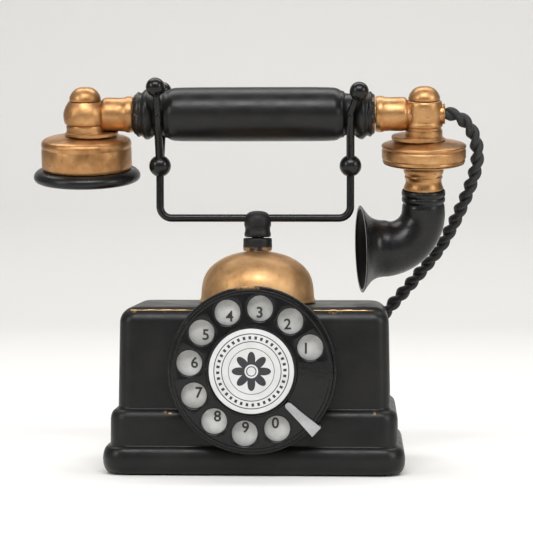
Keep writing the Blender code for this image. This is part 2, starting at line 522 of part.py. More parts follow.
def make_dial_works():
    at_dial = Matrix.Translation((0, 0, DIAL_Z))
    at_governor = Matrix.Translation((GOVERNOR_X, 0, DIAL_Z))
    plate = rod(24.0, FRAME_BACK, FRAME_FRONT, MEDIUM, "-Y")
    bridge = prism([(x, z) for x, z in rounded(26.0, 10.0, 6.0, 4)], BRIDGE_BACK, BRIDGE_FRONT, "-Y")
    shaft_gap = 1.2 + RUNNING_GAP
    drill_end = SPIGOT_BACK + 7.0
    steps = [(JOIN, bridge), (CUT, rod(SPINDLE_R + RUNNING_GAP, BRIDGE_BACK - 6.0, drill_end, COARSE, "-Y")),
             (CUT, shifted(rod(shaft_gap, BRIDGE_BACK - 6.0, drill_end, SMALL, "-Y"), GOVERNOR_X))]
    pillars = [(JOIN, shifted(rod(2.0, BRIDGE_BACK + 0.7, FRAME_BACK + 0.9, 10, "-Y"), x, 0, z))
               for x, z in ((19.4, 5.1), (19.6, -4.9), (GOVERNOR_X, -7.7))]
    node("dial_frame", combined(plate, *pillars, *steps), BRASS, at_dial)
    addendum, dedendum, share = 0.45 * GEAR_MODULE * 1.2, 0.75 * GEAR_MODULE * 1.2, 0.34
    gear = prism(gear_outline(GEAR_TEETH, addendum, dedendum, share), GEAR_BACK, GEAR_FRONT, "-Y")
    node("main_gear", combined(gear, (CUT, rod(SPINDLE_R + GAP, GEAR_BACK - 11.0, drill_end, COARSE, "-Y"))), BRASS, at_dial)
    pinion = prism(gear_outline(PINION_TEETH, addendum, dedendum, share), GEAR_BACK - 0.4, GEAR_FRONT + 0.4, "-Y")
    pinion.transform(Matrix.Rotation(math.pi / PINION_TEETH, 4, "Y"))
    shaft = rod(1.2, BRIDGE_BACK - 1.0, FRAME_FRONT, SMALL, "-Y")
    node("governor_shaft", combined(shaft, (JOIN, pinion)), STEEL, at_governor)
    lobes = [(2.9 + 0.8 * math.cos(2 * a), a) for a in (2 * math.pi * i / 24 for i in range(24))]
    cam = prism([(r * math.cos(a), r * math.sin(a)) for r, a in lobes], SPIGOT_BACK - 12.4, SPIGOT_BACK - 10.0, "-Y")
    node("pulse_cam", combined(cam, (CUT, rod(1.2 + GAP, SPIGOT_BACK - 18.0, SPIGOT_BACK - 6.0, SMALL, "-Y"))), INSULATION, at_governor)
    drum = tube(1.2 + GAP, 4.6, SPIGOT_BACK - 22.6, SPIGOT_BACK - 16.6, COARSE, "-Y")
    slots = [(CUT, box(-0.5, 0.5, 8.0 - SPIGOT_BACK, 28.0 - SPIGOT_BACK, low, low + 2.6)) for low in (3.4, -6.0)]
    node("governor_drum", combined(drum, *slots), STEEL, at_governor)
    block = box(-7.0, -1.0, 9.4 - SPIGOT_BACK, 13.0 - SPIGOT_BACK, 6.0, 13.0)
    parts = [(JOIN, box(-4.5, 4.0, 10.0 - SPIGOT_BACK, 12.4 - SPIGOT_BACK, z, z + 0.5)) for z in (7.0, 9.4)]
    arm = (JOIN, box(-6.0, -2.5, GAP - FRAME_BACK, 12.0 - SPIGOT_BACK, 8.5, 12.0))
    node("pulse_contacts", combined(block, arm, *parts), BRASS, at_governor)
    turns, count = 3.5, 42
    spiral = []
    for edge in (0.0, 0.55):
        arc = [(4.0 + edge + 1.35 * turns * i / count, 2 * math.pi * turns * i / count) for i in range(count + 1)]
        arc = arc if edge == 0.0 else arc[::-1]
        spiral += [(r * math.cos(a), r * math.sin(a)) for r, a in arc]
    node("return_spring", prism(spiral, SPIGOT_BACK - 21.0, SPIGOT_BACK - 17.0, "-Y"), STEEL, at_dial)


# ---------------------------------------------------------------- ringer and circuit parts
RINGER_X, RINGER_Y, COIL_SPACING = 38.0, 22.0, 10.0
ARMATURE_Z = 47.2


def make_ringer():
    coil_bottom, coil_top = 22.0, 44.0
    foot = box(RINGER_X - 20, RINGER_X + 20, RINGER_Y - 9, RINGER_Y + 9, PLATE_TOP + GAP, PLATE_TOP + 2.3)
    steps = [
        (JOIN, box(RINGER_X - 20, RINGER_X + 20, RINGER_Y - 9, RINGER_Y + 9, coil_bottom - 3.0, coil_bottom - GAP)),
        (JOIN, box(RINGER_X - 3.6, RINGER_X + 3.6, RINGER_Y + 8.6, RINGER_Y + 10.6, PLATE_TOP + 1.0, ARMATURE_Z + 5.0)),
    ]
    bore = shifted(rod(1.4 + RUNNING_GAP, 0.0, 12.0, SMALL, "-Y"), RINGER_X, RINGER_Y + 16.0, ARMATURE_Z + 1.2)
    node("ringer_frame", combined(foot, *steps, (CUT, bore)), STEEL)
    spool = [(0, coil_bottom), (8.6, coil_bottom), (8.6, coil_bottom + 1.2), (7.6, coil_bottom + 1.2),
             (7.6, coil_top - 1.2), (8.6, coil_top - 1.2), (8.6, coil_top), (3.0, coil_top), (3.0, coil_top + 1.6),
             (0, coil_top + 1.6)]
    for name, side in (("ringer_coil_left", -1), ("ringer_coil_right", 1)):
        node(name, turned(spool, COARSE), COPPER, Matrix.Translation((RINGER_X + side * COIL_SPACING, RINGER_Y, 0)))
    bar = box(-16.0, 16.0, -4.0, 4.0, 0.0, 2.4)
    pivot = rod(1.4, -10.8, -3.0, SMALL, "-Y")
    start = Vector((0, 0, 1.0))
    end = Vector((CLAPPER_X - RINGER_X, CLAPPER_Y - RINGER_Y, CLAPPER_Z - ARMATURE_Z))
    line = curve_through([start, (0, 0, 8.0), (-6.0, -3.5, 18.0), (end.x + 1.0, end.y + 0.6, 28.0),
                          (end.x, end.y, 34.5), (end.x, end.y, end.z)], 2)
    clapper = combined(bar, (JOIN, shifted(pivot, z=1.2)), (JOIN, swept(line, 0.9, 8)), (JOIN, ball(2.8, end, 12)))
    node("clapper", clapper, STEEL, Matrix.Translation((RINGER_X, RINGER_Y, ARMATURE_Z)))


def make_circuit():
    core = box(-58.0, -26.0, 10.0, 32.0, PLATE_TOP + GAP, PLATE_TOP + 18.0)
    window = (CUT, box(-53.0, -31.0, 5.0, 40.0, PLATE_TOP + 5.0, PLATE_TOP + 14.0))
    winding = (JOIN, box(-52.0, -32.0, 8.0, 34.0, PLATE_TOP + 2.0, PLATE_TOP + 17.0))
    node("induction_coil", combined(core, window, winding), COPPER)
    node("capacitor", prism(rounded(17.0, 7.0, 2.0, 2), 0.0, 22.0), SILVER,
         Matrix.Translation((-40.0, -16.0, PLATE_TOP + GAP)))
    strip = box(-14.0, 14.0, -5.0, 5.0, 0.0, 7.0)
    posts = [(JOIN, shifted(rod(2.2, 6.0, 9.0, 10), x)) for x in (-10.0, -3.4, 3.4, 10.0)]
    node("terminal_block", combined(strip, *posts), INSULATION, Matrix.Translation((35.0, -20.0, PLATE_TOP + GAP)))


# ---------------------------------------------------------------- cord fittings and cord
def make_cord_parts():
    back = SKIRT_HALF_Y - BOX_INSET + GAP
    body = prism([(x + GLAND_X, y) for x, y in [(px, py + (back + 13.5 + back) / 2) for px, py in
                                               rounded(7.5, 6.75, 2.5, 3)]], 43.0, GLAND_TOP)
    spigot = shifted(rod(GLAND_SPIGOT_R, -back - 3.0, -38.0, SMALL, "-Y"), GLAND_X, 0, GLAND_SPIGOT_Z)
    lip = shifted(rod(5.9, GLAND_TOP - 0.5, GLAND_TOP + 2.4, COARSE), GLAND_X, GLAND_Y)
    bore = shifted(rod(CORD_R + 2 * GAP, 49.0, GLAND_TOP + 5.0, COARSE), GLAND_X, GLAND_Y)
    node("cord_gland", combined(body, (JOIN, spigot), (JOIN, lip), (CUT, bore)), BRONZE)
    step_back = SKIRT_HALF_Y - STEP_INSET
    node("line_inlet", turned([
        (2.4, 40.5), (INLET_R, 40.5), (INLET_R, step_back + GAP), (7.0, step_back + GAP), (7.0, step_back + 1.6),
        (5.6, step_back + 2.6), (2.4, step_back + 2.6)], SMALL, "-Y"), GLOSS_BLACK,
        Matrix.Translation((INLET_X, 0, INLET_Z)) @ Matrix.Rotation(math.pi, 4, "Z"))
    node("handset_cord", swept(curve_through(CORD_ROUTE, 2), CORD_R, 8), CORD_BLACK)


# ---------------------------------------------------------------- handset
def make_grip(parent):
    half = [(0.0, GRIP_R + 0.1), (30.0, GRIP_R), (41.0, GRIP_R - 0.2), (43.6, GRIP_R - 1.0), (46.4, NECK_R + 0.8),
            (48.2, NECK_R), (51.8, NECK_R), (53.0, NECK_R + 1.2), (54.8, BEAD_R), (56.6, BEAD_R), (58.4, BEAD_R - 1.6),
            (59.4, BEAD_R - 1.9), (60.2, BEAD_R - 1.3), (61.4, BEAD_R - 2.0), (GRIP_HALF - 0.5, GRIP_END_R + 0.6),
            (GRIP_HALF, GRIP_END_R)]
    outer = [(r, -u) for u, r in half[::-1]] + [(r, u) for u, r in half[1:]]
    profile = outer + [(GRIP_BORE, GRIP_HALF), (GRIP_BORE, -GRIP_HALF)]
    node("handle_grip", turned(profile, MEDIUM, "X"), BLACK_PAINT, parent=parent)
    node("handle_tube", tube(GRIP_BORE - 2.0, GRIP_BORE - GAP, -GRIP_HALF - 8.0, GRIP_HALF + 8.0, COARSE, "X"), BRASS,
         parent=parent)


def cap_arm(boss_profile, side, extra=()):
    """A domed boss turned about the cup's axis with a round arm reaching to the handle and a tongue under it."""
    arm_length = CUP_X - GRIP_HALF - GAP
    arm = turned([(0, 0), (ARM_R - 2.4, 0), (ARM_R - 2.2, 8.5), (ARM_R - 0.4, 10.0), (ARM_R - 0.2, arm_length - 5.0),
                  (ARM_R + 0.3, arm_length), (0, arm_length)], COARSE, "X")
    if side > 0:
        arm.transform(Matrix.Rotation(math.pi, 4, "Z"))
    tongue = rounded(15.6, 8.7, 7.4, 5)
    tongue_low = boss_profile[0][1]
    steps = [
        (JOIN, arm),
        (JOIN, prism([(x - side * 5.2, y) for x, y in tongue], tongue_low + 0.15, tongue_low + 2.85)),
        (CUT, shifted(tube_bore(arm_length, side))),
        (CUT, rod(4.2, -30.0, 1.7, 10)),
        *extra,
    ]
    return combined(turned(boss_profile, MEDIUM), *steps)


def tube_bore(arm_length, side):
    bore = rod(GRIP_BORE, 3.3, arm_length + 5.0, COARSE, "X")
    if side > 0:
        bore.transform(Matrix.Rotation(math.pi, 4, "Z"))
    return bore


def make_receiver(parent):
    at_cup = Matrix.Translation((-CUP_X, 0, 0))
    boss = [(0, -10.8), (BOSS_R - 0.6, -10.8), (BOSS_R - 1.0, -9.4), (BOSS_R - 1.5, -8.6), (BOSS_R - 1.5, -5.4),
            (BOSS_R - 0.8, -4.4), (BOSS_R - 0.3, -2.0), (BOSS_R, 0.0), (BOSS_R - 0.9, 3.0), (BOSS_R - 2.2, 5.6),
            (FINIAL_R + 0.5, 7.1), (0, 7.1)]
    node("receiver_arm", cap_arm(boss, -1), BRONZE, at_cup, parent)
    node("receiver_finial", finial(7.1 + GAP), BRONZE, at_cup, parent)
    top = CUP_TOP
    node("receiver_cup", turned([
        (4.6, -11.1), (BOSS_R, -11.1), (17.0, -11.8), (CUP_R - 1.4, top + 0.2), (CUP_R, top - 1.0), (CUP_R + 0.1, CUP_BOTTOM),
        (CUP_R - 2.0, CUP_BOTTOM), (CUP_R - 2.0, top - 2.4), (4.6, top - 1.6)], FINE), BRONZE, at_cup, parent)
    low = EAR_CAP_BOTTOM
    rim = CUP_BOTTOM - GAP
    cap = turned([
        (CUP_R - 5.0, rim), (CUP_R + 1.0, rim), (EAR_CAP_R - 1.8, rim - 0.7), (EAR_CAP_R, rim - 2.6),
        (EAR_CAP_R, low + 2.4), (EAR_CAP_R - 1.8, low + 0.5), (EAR_CAP_R - 5.0, low), (EAR_CAP_R - 8.0, low + 0.8),
        (8.0, low + 3.0), (4.0, low + 3.4), (4.0, low + 5.2), (CUP_R - 5.0, low + 5.2)], FINE)
    node("receiver_cap", cap, BLACK_PAINT, at_cup, parent)
    node("receiver_capsule", turned([
        (0, rim + 0.6), (CUP_R - 2.5, rim + 0.6), (CUP_R - 2.5, top - 9.0), (8.0, top - 9.0), (8.0, top - 3.0),
        (0, top - 3.0)], MEDIUM), STEEL, at_cup, parent)


def finial(base):
    return turned([(0, base), (FINIAL_R, base), (FINIAL_R + 0.1, base + 1.4), (FINIAL_R - 0.9, base + 3.6),
                   (FINIAL_R - 2.6, base + 5.5), (FINIAL_R - 5.2, base + 6.7), (0, base + 7.0)], COARSE)


def make_transmitter(parent):
    at_cup = Matrix.Translation((CUP_X, 0, 0))
    r = TRANSMITTER_BOSS_R
    boss = [(0, -13.4), (r + 1.6, -13.4), (r + 1.2, -12.4), (r, -11.6), (r, -8.6), (r - 0.5, -8.0), (r - 0.5, -6.6),
            (r, -6.0), (r, -4.4), (r - 0.4, -3.6), (r - 0.1, 2.0), (r - 0.4, 5.6), (FINIAL_R + 0.4, 7.1), (0, 7.1)]
    bush_bore = rod(CORD_R + 1.3 + GAP, 2.6, 16.0, 14, "X")
    node("transmitter_arm", cap_arm(boss, 1, [(CUT, bush_bore)]), BRONZE, at_cup, parent)
    node("transmitter_finial", finial(7.1 + GAP), BRONZE, at_cup, parent)
    node("cord_bush", tube(CORD_R + GAP, CORD_R + 1.3, 5.6, r + 0.9, COARSE, "X"), BRONZE, at_cup, parent)
    top, low = DISC_TOP, DISC_BOTTOM
    node("transmitter_case", turned([
        (4.6, -13.7), (r + 1.9, -13.7), (DISC_R - 1.6, top + 0.3), (DISC_R, top - 0.6), (DISC_R, top - 1.4),
        (DISC_R - 0.5, top - 1.7), (DISC_R - 0.5, top - 2.2), (DISC_R - 0.1, top - 2.5), (DISC_R - 0.4, low + 0.9),
        (DISC_R - 0.9, low + 0.5), (DISC_R - 0.9, low), (DISC_R - 2.4, low), (DISC_R - 2.4, top - 2.6),
        (4.6, top - 1.2)], FINE), BRONZE, at_cup, parent)
    node("transmitter_cover", turned([
        (4.0, HORN_NECK_TOP), (HORN_NECK_R + 0.6, HORN_NECK_TOP), (HORN_NECK_R + 3.0, HORN_NECK_TOP + 1.0),
        (DISC_R - 1.6, low - 0.8), (DISC_R - 0.9, low - GAP), (DISC_R - 2.8, low - GAP), (DISC_R - 2.8, low + 1.6),
        (DISC_R - 4.4, low + 1.6), (DISC_R - 4.4, low - 0.4), (4.0, HORN_NECK_TOP + 2.0)], FINE), BRONZE, at_cup, parent)
    node("transmitter_capsule", tube(1.0, DISC_R - 4.8, low + 1.0, top - 3.0, MEDIUM), STEEL, at_cup, parent)
    n = HORN_NECK_R
    node("horn_neck", turned([
        (4.0, HORN_NECK_TOP - GAP), (n, HORN_NECK_TOP - GAP), (n - 0.1, -31.0), (n - 0.7, -31.8), (n - 0.4, -33.0),
        (n - 0.9, -34.0), (n - 0.9, -35.4), (n - 0.2, -37.6), (n, HORN_NECK_BOTTOM), (n - 1.2, HORN_NECK_BOTTOM),
        (n - 1.2, HORN_NECK_BOTTOM - 4.0), (4.0, HORN_NECK_BOTTOM - 4.0)], MEDIUM), BRONZE, at_cup, parent)
    make_horn(at_cup, parent)


def horn_line():
    """Centre points of the horn with their outer radii: down, round a quarter bend, and out to the mouth."""
    low = HORN_BEND_Z - HORN_BEND_R
    stations = [((0, 0, HORN_NECK_BOTTOM - GAP), HORN_COLLAR_R), ((0, 0, -44.8), HORN_COLLAR_R),
                ((0, 0, -46.0), HORN_COLLAR_R - 0.7), ((0, 0, -47.4), HORN_COLLAR_R - 0.1),
                ((0, 0, HORN_BEND_Z + 1.6), HORN_COLLAR_R + 0.2)]
    for i in range(6):
        turn = math.pi / 2 * i / 5
        grow = i / 5
        stations.append(((-HORN_BEND_R * (1 - math.cos(turn)), 0, HORN_BEND_Z - HORN_BEND_R * math.sin(turn)),
                         HORN_COLLAR_R + 0.4 + (HORN_TUBE_R - HORN_COLLAR_R - 0.8) * grow))
    flare = [(0.30, 0.0), (0.55, 0.25), (0.72, 1.0), (0.84, 2.8), (0.93, 5.0), (0.98, 6.6), (1.0, HORN_MOUTH_R - HORN_TUBE_R)]
    run = HORN_MOUTH_X - HORN_BEND_R
    stations += [((-HORN_BEND_R - run * along, 0, low), HORN_TUBE_R + wider) for along, wider in flare]
    return stations


def make_horn(at_cup, parent):
    stations = horn_line()
    outer = swept([p for p, _ in stations], [r for _, r in stations], MEDIUM)
    inner_line = [Vector(p) for p, _ in stations]
    inner_line[0] += Vector((0, 0, 2.0))
    inner_line[-1] += Vector((-2.0, 0, 0))
    inner_radii = [r - HORN_WALL for _, r in stations]
    inner_radii[-1] += 1.0
    inner = swept(inner_line, inner_radii, MEDIUM)
    bm = combined(outer, (CUT, inner))
    node("horn", bm, BLACK_PAINT, at_cup @ Matrix.Rotation(HORN_YAW, 4, "Z"), parent)


def make_handset():
    handle = bpy.data.objects.new("handset_axis", None)
    bpy.context.scene.collection.objects.link(handle)
    handle.matrix_world = Matrix.Translation((HANDSET_X * MM, 0, HANDLE_Z * MM)) @ Matrix.Rotation(HANDSET_ROLL, 4, "X")
    make_grip(handle)
    make_receiver(handle)
    make_transmitter(handle)


make_casing()
make_underside()
make_bell()
make_cradle()
make_hook_switch()
make_dial_front()
make_dial_works()
make_ringer()
make_circuit()
make_cord_parts()
make_handset()
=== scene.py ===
"""A rotary desk telephone, piece by piece in the order that it is put together. Lengths are in metres."""

import math

import bmesh
import bpy
from mathutils import Matrix, Vector


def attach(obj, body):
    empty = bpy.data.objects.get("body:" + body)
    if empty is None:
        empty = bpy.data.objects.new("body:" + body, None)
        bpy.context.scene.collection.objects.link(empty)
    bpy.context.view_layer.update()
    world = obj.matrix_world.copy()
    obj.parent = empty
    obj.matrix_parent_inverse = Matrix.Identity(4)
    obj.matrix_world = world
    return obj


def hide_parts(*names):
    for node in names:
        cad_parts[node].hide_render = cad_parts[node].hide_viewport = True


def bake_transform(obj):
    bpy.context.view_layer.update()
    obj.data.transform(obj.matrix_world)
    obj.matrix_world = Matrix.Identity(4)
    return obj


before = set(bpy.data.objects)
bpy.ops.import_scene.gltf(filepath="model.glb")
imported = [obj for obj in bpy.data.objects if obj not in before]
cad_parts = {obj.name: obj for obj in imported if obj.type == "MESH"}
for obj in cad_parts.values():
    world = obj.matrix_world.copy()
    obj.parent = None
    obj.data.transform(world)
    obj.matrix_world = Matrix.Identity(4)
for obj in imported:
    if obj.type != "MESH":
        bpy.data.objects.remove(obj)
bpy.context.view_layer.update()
MM = 0.001


# ---------------------------------------------------------------- camera
# A long lens a little to the right of the dial and a little above it.
camera_data = bpy.data.cameras.new("camera")
camera_data.lens = 140.2
camera_data.sensor_width = 36.0
camera_data.clip_end = 20.0
camera = bpy.data.objects.new("camera", camera_data)
bpy.context.collection.objects.link(camera)
turn, lift, distance = math.radians(2.6), math.radians(1.77), 1.0804
aim = Vector((0.0046, 0.0, 0.1031))
look = Vector((-math.sin(turn) * math.cos(lift), math.cos(turn) * math.cos(lift), -math.sin(lift)))
camera.location = aim - look * distance
camera.rotation_euler = look.to_track_quat("-Z", "Y").to_euler()
bpy.context.scene.camera = camera


# ---------------------------------------------------------------- floor and lights
# A pale sweep of paper under and behind the telephone, with soft boxes left, right and above.
sweep = bmesh.new()
foot = [sweep.verts.new((-4.0, y, z))
        for y, z in ((-2.5, 0.0), (1.2, 0.0), (1.75, 0.12), (2.05, 0.5), (2.15, 3.0))]
for near, far in zip(foot, foot[1:]):
    sweep.edges.new((near, far))
drawn = bmesh.ops.extrude_edge_only(sweep, edges=sweep.edges[:])
bmesh.ops.translate(sweep, verts=[v for v in drawn["geom"] if isinstance(v, bmesh.types.BMVert)],
                    vec=(8.0, 0, 0))
bmesh.ops.recalc_face_normals(sweep, faces=sweep.faces)
sweep_mesh = bpy.data.meshes.new("backdrop")
sweep.to_mesh(sweep_mesh)
sweep.free()
sweep_mesh.shade_smooth()
backdrop = bpy.data.objects.new("backdrop", sweep_mesh)
bpy.context.collection.objects.link(backdrop)
paper = bpy.data.materials.new("pale_paper")
paper.use_nodes = True
paper.node_tree.nodes["Principled BSDF"].inputs["Base Color"].default_value = (0.80, 0.79, 0.765, 1)
paper.node_tree.nodes["Principled BSDF"].inputs["Roughness"].default_value = 0.9
sweep_mesh.materials.append(paper)

for name, place, size, power, tint in (
    ("over_front", (0.05, -1.05, 1.25), (1.3, 0.45), 20.0, (0.98, 0.99, 1.0)),
    ("key_left", (-1.4, -1.1, 0.85), (0.5, 0.8), 9.0, (1.0, 0.99, 0.97)),
    ("fill_right", (1.5, -0.9, 0.75), (0.5, 0.9), 9.0, (0.98, 0.99, 1.0)),
    ("backdrop_wash", (0.0, 0.7, 2.0), (3.0, 0.8), 34.0, (1.0, 0.995, 0.98)),
):
    lamp = bpy.data.lights.new(name, "AREA")
    lamp.shape = "RECTANGLE"
    lamp.size, lamp.size_y = size
    lamp.energy = power
    lamp.color = tint
    lit = bpy.data.objects.new(name, lamp)
    bpy.context.collection.objects.link(lit)
    lit.location = place
    lit.rotation_euler = (Vector((0.0, 0.0, 0.1)) - Vector(place)).to_track_quat("-Z", "Y").to_euler()
world = bpy.data.worlds.new("soft_room")
bpy.context.scene.world = world
world.use_nodes = True
world.node_tree.nodes["Background"].inputs["Color"].default_value = (0.92, 0.93, 0.95, 1)
world.node_tree.nodes["Background"].inputs["Strength"].default_value = 0.27
bpy.context.scene.view_settings.view_transform = "Standard"


# ---------------------------------------------------------------- handset cord
# Two fat black cotton-covered strands twisted into a limp rope, from the end of the handle to the casing's
# back. The slanting threads of the braid follow the strands' own UVs.
CORD_DIAMETER = 7.5 * MM
CORD_POINTS = (
    (96.25, 0.0, 182.2), (100.65, 0.2, 182.0), (106.15, 1.5, 179.3), (110.65, 3.5, 174.1),
    (113.35, 6.0, 167.5), (114.25, 9.0, 160.2), (113.05, 12.5, 152.1), (110.15, 17.0, 143.0),
    (106.5, 22.0, 133.8), (102.4, 27.5, 124.5), (97.4, 33.0, 115.0), (91.3, 38.5, 106.0),
    (84.2, 43.5, 97.0), (76.8, 47.3, 88.0), (69.0, 50.2, 79.0), (62.8, 51.5, 71.0),
    (60.0, 51.7, 63.0), (60.0, 51.7, 57.5), (60.0, 51.7, 52.0),
)
STRAND_TWIST = 15.0 * MM            # length of one full turn


def smooth_line(points, per_span):
    """A smooth curve through the points, with per_span steps from each to the next."""
    dots = [Vector(p) for p in points]
    dots = [2 * dots[0] - dots[1]] + dots + [2 * dots[-1] - dots[-2]]
    line = []
    for a, b, c, d in zip(dots, dots[1:], dots[2:], dots[3:]):
        for i in range(per_span):
            t = i / per_span
            line.append(0.5 * (2 * b + (c - a) * t + (2 * a - 5 * b + 4 * c - d) * t * t
                               + (3 * b - a - 3 * c + d) * t * t * t))
    return line + [dots[-2]]


route = [Vector(p) * MM for p in CORD_POINTS]
cord_line = smooth_line(route, 12)
cord_length = sum((q - p).length for p, q in zip(cord_line, cord_line[1:]))


def strand_rings(line, offset, thickness, phase, sides):
    """Rings of points round a strand that winds about the line."""
    rings, along, side = [], 0.0, Vector((0, 1, 0))
    for i, point in enumerate(line):
        ahead = (line[min(i + 1, len(line) - 1)] - line[max(i - 1, 0)]).normalized()
        side = (side - ahead * side.dot(ahead)).normalized()
        up = ahead.cross(side)
        if i:
            along += (point - line[i - 1]).length
        spin = phase + 2 * math.pi * along / STRAND_TWIST
        out = side * math.cos(spin) + up * math.sin(spin)
        across = ahead.cross(out)
        centre = point + out * offset
        rings.append([centre + thickness * (out * math.cos(turn) * 0.96 + across * math.sin(turn))
                      for turn in (2 * math.pi * k / sides for k in range(sides))])
    return rings


cord_bm = bmesh.new()
cord_uv = cord_bm.loops.layers.uv.new("UVMap")
STRAND_R, SIDES = 0.30 * CORD_DIAMETER, 18
for phase in (0.0, math.pi):
    hoops = [[cord_bm.verts.new(p) for p in hoop]
             for hoop in strand_rings(cord_line, CORD_DIAMETER / 2 - STRAND_R, STRAND_R, phase, SIDES)]
    for n, (low, high) in enumerate(zip(hoops, hoops[1:])):
        for k in range(SIDES):
            face = cord_bm.faces.new((low[k], low[(k + 1) % SIDES], high[(k + 1) % SIDES], high[k]))
            for loop, (u, v) in zip(face.loops, ((k, n), (k + 1, n), (k + 1, n + 1), (k, n + 1))):
                loop[cord_uv].uv = (u / SIDES, v * cord_length / len(cord_line) / (2 * math.pi * STRAND_R))
    cord_bm.faces.new(hoops[0][::-1])
    cord_bm.faces.new(hoops[-1])
bmesh.ops.recalc_face_normals(cord_bm, faces=cord_bm.faces)
cord_mesh = bpy.data.meshes.new("rope_cord")
cord_bm.to_mesh(cord_mesh)
cord_bm.free()
cord_mesh.shade_smooth()
rope_cord = bpy.data.objects.new("rope_cord", cord_mesh)
bpy.context.collection.objects.link(rope_cord)

braid = bpy.data.materials.new("black_braid")
braid.use_nodes = True
nodes, links = braid.node_tree.nodes, braid.node_tree.links
shader = nodes["Principled BSDF"]
uv = nodes.new("ShaderNodeUVMap")
uv.uv_map = "UVMap"
threads = []
for slant in (1.0, -1.0):
    turned_uv = nodes.new("ShaderNodeMapping")
    turned_uv.inputs["Rotation"].default_value = (0, 0, slant * math.radians(45))
    links.new(uv.outputs["UV"], turned_uv.inputs["Vector"])
    wave = nodes.new("ShaderNodeTexWave")
    wave.inputs["Scale"].default_value = 2.8
    links.new(turned_uv.outputs["Vector"], wave.inputs["Vector"])
    threads.append(wave)
both = nodes.new("ShaderNodeMath")
both.operation = "MAXIMUM"
links.new(threads[0].outputs["Fac"], both.inputs[0])
links.new(threads[1].outputs["Fac"], both.inputs[1])
shade = nodes.new("ShaderNodeValToRGB")
shade.color_ramp.elements[0].color = (0.003, 0.003, 0.003, 1)
shade.color_ramp.elements[1].color = (0.010, 0.0098, 0.0096, 1)
links.new(both.outputs[0], shade.inputs["Fac"])
links.new(shade.outputs["Color"], shader.inputs["Base Color"])
shader.inputs["Roughness"].default_value = 0.62
shader.inputs["Sheen Weight"].default_value = 0.08
bump = nodes.new("ShaderNodeBump")
bump.inputs["Strength"].default_value = 0.5
bump.inputs["Distance"].default_value = 0.00025
links.new(both.outputs[0], bump.inputs["Height"])
links.new(bump.outputs["Normal"], shader.inputs["Normal"])
cord_mesh.materials.append(braid)
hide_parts("handset_cord")
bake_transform(rope_cord)


# ---------------------------------------------------------------- casing
# A pressed sheet casing: a skirt, a lower step and the box that carries the dial, with a round top edge. Its
# satin black is blotched and a little grained, and the black pieces after it have the same paint.
SKIRT_X, SKIRT_Y, BOX_INSET, CASING_TOP, TOP_ROUND = 76.0, 52.0, 8.2, 84.0, 8.0


def casing_outline(inset, z, steps=10):
    radius = max(2.0, 11.5 - 0.45 * inset)
    points = []
    for quarter, (sx, sy) in enumerate(((1, 1), (-1, 1), (-1, -1), (1, -1))):
        for i in range(steps + 1):
            angle = math.pi / 2 * (quarter + i / steps)
            points.append(Vector((sx * (SKIRT_X - inset - radius) + radius * math.cos(angle),
                                  sy * (SKIRT_Y - inset - radius) + radius * math.sin(angle), z)) * MM)
    return points


levels = [(5.0, 1.0), (2.4, 1.0), (1.5, 1.9), (0.7, 3.4), (0.15, 5.6), (0.0, 8.0), (0.12, 9.8), (0.45, 11.5),
          (0.95, 12.8), (1.6, 13.75), (2.5, 14.3), (3.3, 14.4), (3.6, 14.75), (3.62, 15.4), (3.7, 27.6),
          (3.9, 29.2), (4.3, 30.5), (4.95, 31.6), (5.8, 32.35), (6.7, 32.75), (7.2, 32.85), (7.42, 33.2),
          (7.45, 33.9)]
levels += [(BOX_INSET, CASING_TOP - TOP_ROUND)]
levels += [(BOX_INSET + TOP_ROUND * (1 - math.cos(t)), CASING_TOP - TOP_ROUND + TOP_ROUND * math.sin(t))
           for t in (math.pi / 2 * i / 12 for i in range(1, 13))]
TOP_LEVEL = len(levels) - 1
levels += [(11.5 + BOX_INSET, 80.4), (11.8, 76.0), (11.0, 31.4), (7.6, 27.8), (7.6, 13.8), (5.0, 10.8)]
casing_bm = bmesh.new()
hoops = []
for inset, z in levels:
    ring = [casing_bm.verts.new(p) for p in casing_outline(inset, z)]
    hoops.append([casing_bm.edges.new((a, b)) for a, b in zip(ring, ring[1:] + ring[:1])])
for n, (low, high) in enumerate(zip(hoops, hoops[1:] + hoops[:1])):
    if n != TOP_LEVEL:
        bmesh.ops.bridge_loops(casing_bm, edges=low + high)
for flat in (hoops[TOP_LEVEL], hoops[TOP_LEVEL + 1]):
    bmesh.ops.contextual_create(casing_bm, geom=flat)


def cut(bm, *cutters, how="DIFFERENCE"):
    """Cuts the cutters' shapes out of a bmesh, or with UNION melts them into it, and returns the result."""
    work = []
    for shape in (bm, *cutters):
        bmesh.ops.recalc_face_normals(shape, faces=shape.faces)
        mesh = bpy.data.meshes.new("work")
        shape.to_mesh(mesh)
        shape.free()
        made = bpy.data.objects.new("work", mesh)
        bpy.context.collection.objects.link(made)
        work.append(made)
    for cutter in work[1:]:
        step = work[0].modifiers.new("cut", "BOOLEAN")
        step.operation = how
        step.object = cutter
    bpy.context.view_layer.update()
    left = bmesh.new()
    left.from_mesh(work[0].evaluated_get(bpy.context.evaluated_depsgraph_get()).to_mesh())
    for made in work:
        bpy.data.objects.remove(made)
    return left


